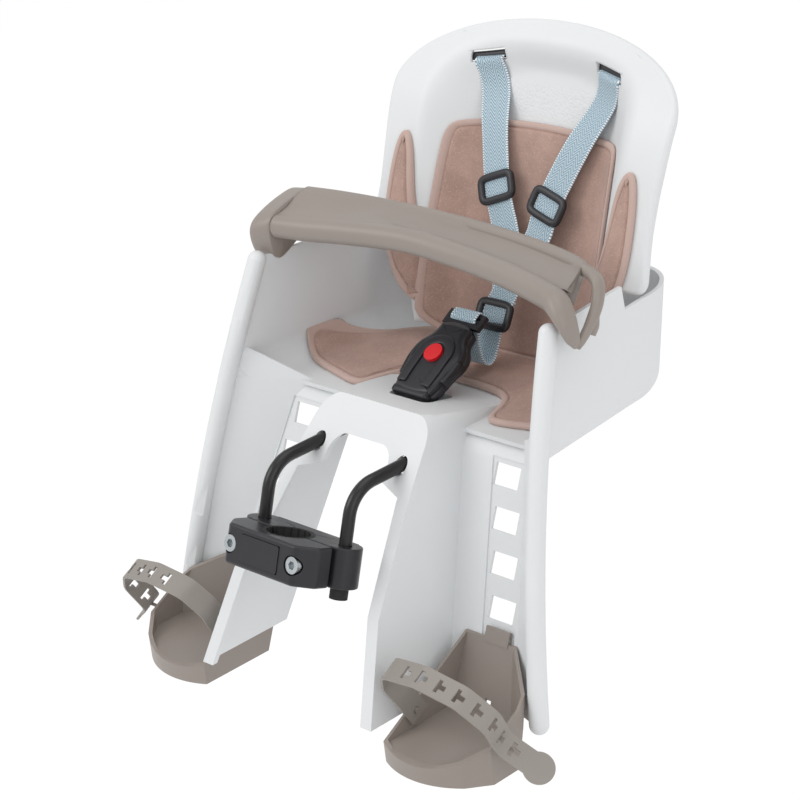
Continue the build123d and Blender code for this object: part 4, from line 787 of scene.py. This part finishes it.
def lap_bar():
    """Bar: the band, the tube along its front that turns down at the free end, the rim along its rear that
    loops down beside the window, and the hook between them."""
    at = np.linspace(-149.8, 150.0, 60)
    nose, crest, _ = bar_keys(at)
    run = np.column_stack([at, nose[:, 0] + NOSE, crest[:, 1] - NOSE])
    end = [(159.0, 149.8, 178.4), (166.5, 146.2, 174.4), (172.0, 144.8, 168.0), (174.4, 145.4, 161.0),
           (175.2, 147.8, 153.0), (175.4, 149.4, 147.8)]
    path = curve(np.vstack([run, end]), 260)
    front = tapered(path, [0, 0.87, 0.90, 0.925, 0.95, 0.98, 1.0], [NOSE, NOSE, 9.8, 9.8, 9.0, 6.4, 2.8],
                    [NOSE, NOSE, 9.0, 7.0, 4.8, 3.6, 2.2], (0.0, -1.0, 0.12))
    at = np.linspace(-40.0, 146.0, 40)
    _, _, rear = bar_keys(at)
    run = np.column_stack([at, rear[:, 0] - 5.6, rear[:, 1] - 4.6])
    end = [(157.0, 188.0, 188.6), (166.0, 184.5, 187.6), (172.3, 181.0, 183.6), (175.2, 176.6, 175.2),
           (175.6, 171.6, 166.9), (175.4, 163.5, 157.5), (175.0, 156.0, 150.5), (174.8, 150.6, 147.2)]
    path = curve(np.vstack([run, end]), 220)
    rim = tapered(path, [0, 0.2, 0.66, 0.76, 0.9, 1.0], [2.0, 5.2, 5.4, 5.2, 4.9, 3.2],
                  [2.0, 4.6, 4.8, 4.4, 3.6, 2.6], (0.0, 1.0, -0.2))
    tab = curve([(175.4, 172.0, 163.5), (175.4, 169.6, 156.0), (175.2, 166.4, 150.6)], 16)
    hook = tapered(tab, [0, 0.5, 1.0], [3.4, 4.2, 3.2], [2.4, 2.8, 2.4], (0.0, 1.0, -0.3))
    piece("lap_bar", [(g, False, True, None) for g in (bar_band(), front, rim, hook)], "taupe_plastic",
          "bar", replaces=("front_bar",))


def end_cap():
    """Cap at the hinge: a block whose section blends from the bar's end to the wall's outer face, with a
    wedge below that straddles the wall."""
    near = np.array([(198, 203), (176, 199.2), (163, 195.6), (155, 192), (151, 187), (149.8, 180),
                     (149.8, 172), (151, 162), (157, 153.5), (170, 159.5), (183, 166.5), (195, 188),
                     (199, 198)], float)
    far = np.array([(196, 201), (176, 197), (160, 191.5), (150, 186.5), (145.5, 181), (144.2, 174),
                    (145.5, 166.5), (147.9, 158.9), (153, 157), (168, 163), (182, 170), (194, 188),
                    (197, 197)], float)
    centre = np.array([172.0, 181.0])
    start, end = -150.5, -171.0
    rings = []
    for x, size in ((start, 0.985), (-150.9, 1.0), (-155.0, 1.0), (-160.0, 1.0), (-165.0, 1.0),
                    (-168.0, 0.99), (-169.8, 0.965), (end, 0.92)):
        t = (start - x) / (start - end)
        ring = chaikin(near * (1.0 - t) + far * t, 3)
        rings.append(np.column_stack([np.full(len(ring), x), centre + (ring - centre) * size]))
    piece("hinge_cap", [(capped(np.stack(rings)), False, True, None)], "taupe_plastic", "seat",
          replaces=("bar_hinge_cap", "hinge_pin"))


rest_shell()
felt_pad()
harness()
buckle_case()
lap_bar()
end_cap()


# Finish of the solids that stay
def soften(name, width):
    """Rounds the edges of a CAD solid by a bevel of the given width in place of its hard edge split."""
    obj = NODES[name]
    obj.modifiers.clear()
    obj.modifiers.new("weld", "WELD").merge_threshold = 1e-5
    bevel = obj.modifiers.new("edge", "BEVEL")
    bevel.width = width * MM
    bevel.segments = 3
    bevel.limit_method = "ANGLE"
    bevel.angle_limit = math.radians(32.0)
    obj.modifiers.new("shade", "WEIGHTED_NORMAL").keep_sharp = True


for name, width in (("bracket_front", 1.0), ("bracket_rear", 1.0), ("bracket_plate", 0.8),
                    ("buckle_tongue", 0.5), ("buckle_button", 0.5), ("lower_shell", 1.2),
                    ("footrest_right", 0.7), ("footrest_left", 0.7), ("foot_strap_right", 0.45),
                    ("foot_strap_left", 0.45), ("clamp_bolts", 0.3), ("rod_clamp_plate", 0.6)):
    soften(name, width)


# Floor, light and camera
bpy.ops.mesh.primitive_plane_add(size=30.0, location=(0.0, 0.0, CAD_BOX[0].z - 0.25))
floor = bpy.context.object
floor.name = "floor"
floor.data.materials.append(material("floor_paper", paper, colour=(0.93, 0.93, 0.935)))

# The world's light is plain, and white where the camera sees it
world = bpy.data.worlds.new("world")
bpy.context.scene.world = world
world.use_nodes = True
Sock.tree = world.node_tree
seen = Sock(Sock.node("ShaderNodeLightPath").outputs["Is Camera Ray"])
background = world.node_tree.nodes["Background"]
put(background.inputs["Color"], (1.0, 1.0, 1.0, 1.0))
put(background.inputs["Strength"], seen.m("MULTIPLY_ADD", 0.25, 0.78))


def area_light(name, at, size, power):
    """Square soft light that shines on the seat's middle."""
    data = bpy.data.lights.new(name, "AREA")
    data.energy = power
    data.shape = "RECTANGLE"
    data.size = size
    data.size_y = size
    obj = bpy.data.objects.new(name, data)
    bpy.context.scene.collection.objects.link(obj)
    obj.location = at
    obj.rotation_mode = "QUATERNION"
    obj.rotation_quaternion = (Vector((0.0, 0.1, 0.1)) - Vector(at)).to_track_quat("-Z", "Y")


area_light("key", (-1.2, -1.6, 1.7), 1.4, 17.0)
area_light("fill", (2.2, -0.6, 0.8), 1.6, 7.0)
area_light("top", (0.3, 0.4, 2.2), 1.8, 9.0)

# Camera solved from the photograph: its focal length in pixels, its axes and its place
FOCAL_PIXELS, FRAME_PIXELS = 2658.0, 800.0
cam_data = bpy.data.cameras.new("camera")
cam = bpy.data.objects.new("camera", cam_data)
bpy.context.scene.collection.objects.link(cam)
cam_data.sensor_width = 36.0
cam_data.lens = FOCAL_PIXELS / FRAME_PIXELS * cam_data.sensor_width
right = Vector((0.6952, 0.7095, -0.1151))
up = Vector((-0.2026, 0.3471, 0.9157))
back = Vector((0.6897, -0.6132, 0.3851))
turn = Matrix((right, up, back)).transposed().to_4x4()
cam.matrix_world = Matrix.Translation((1.4043, -1.1169, 0.8583)) @ turn
bpy.context.scene.camera = cam

bpy.context.scene.view_settings.view_transform = "Standard"
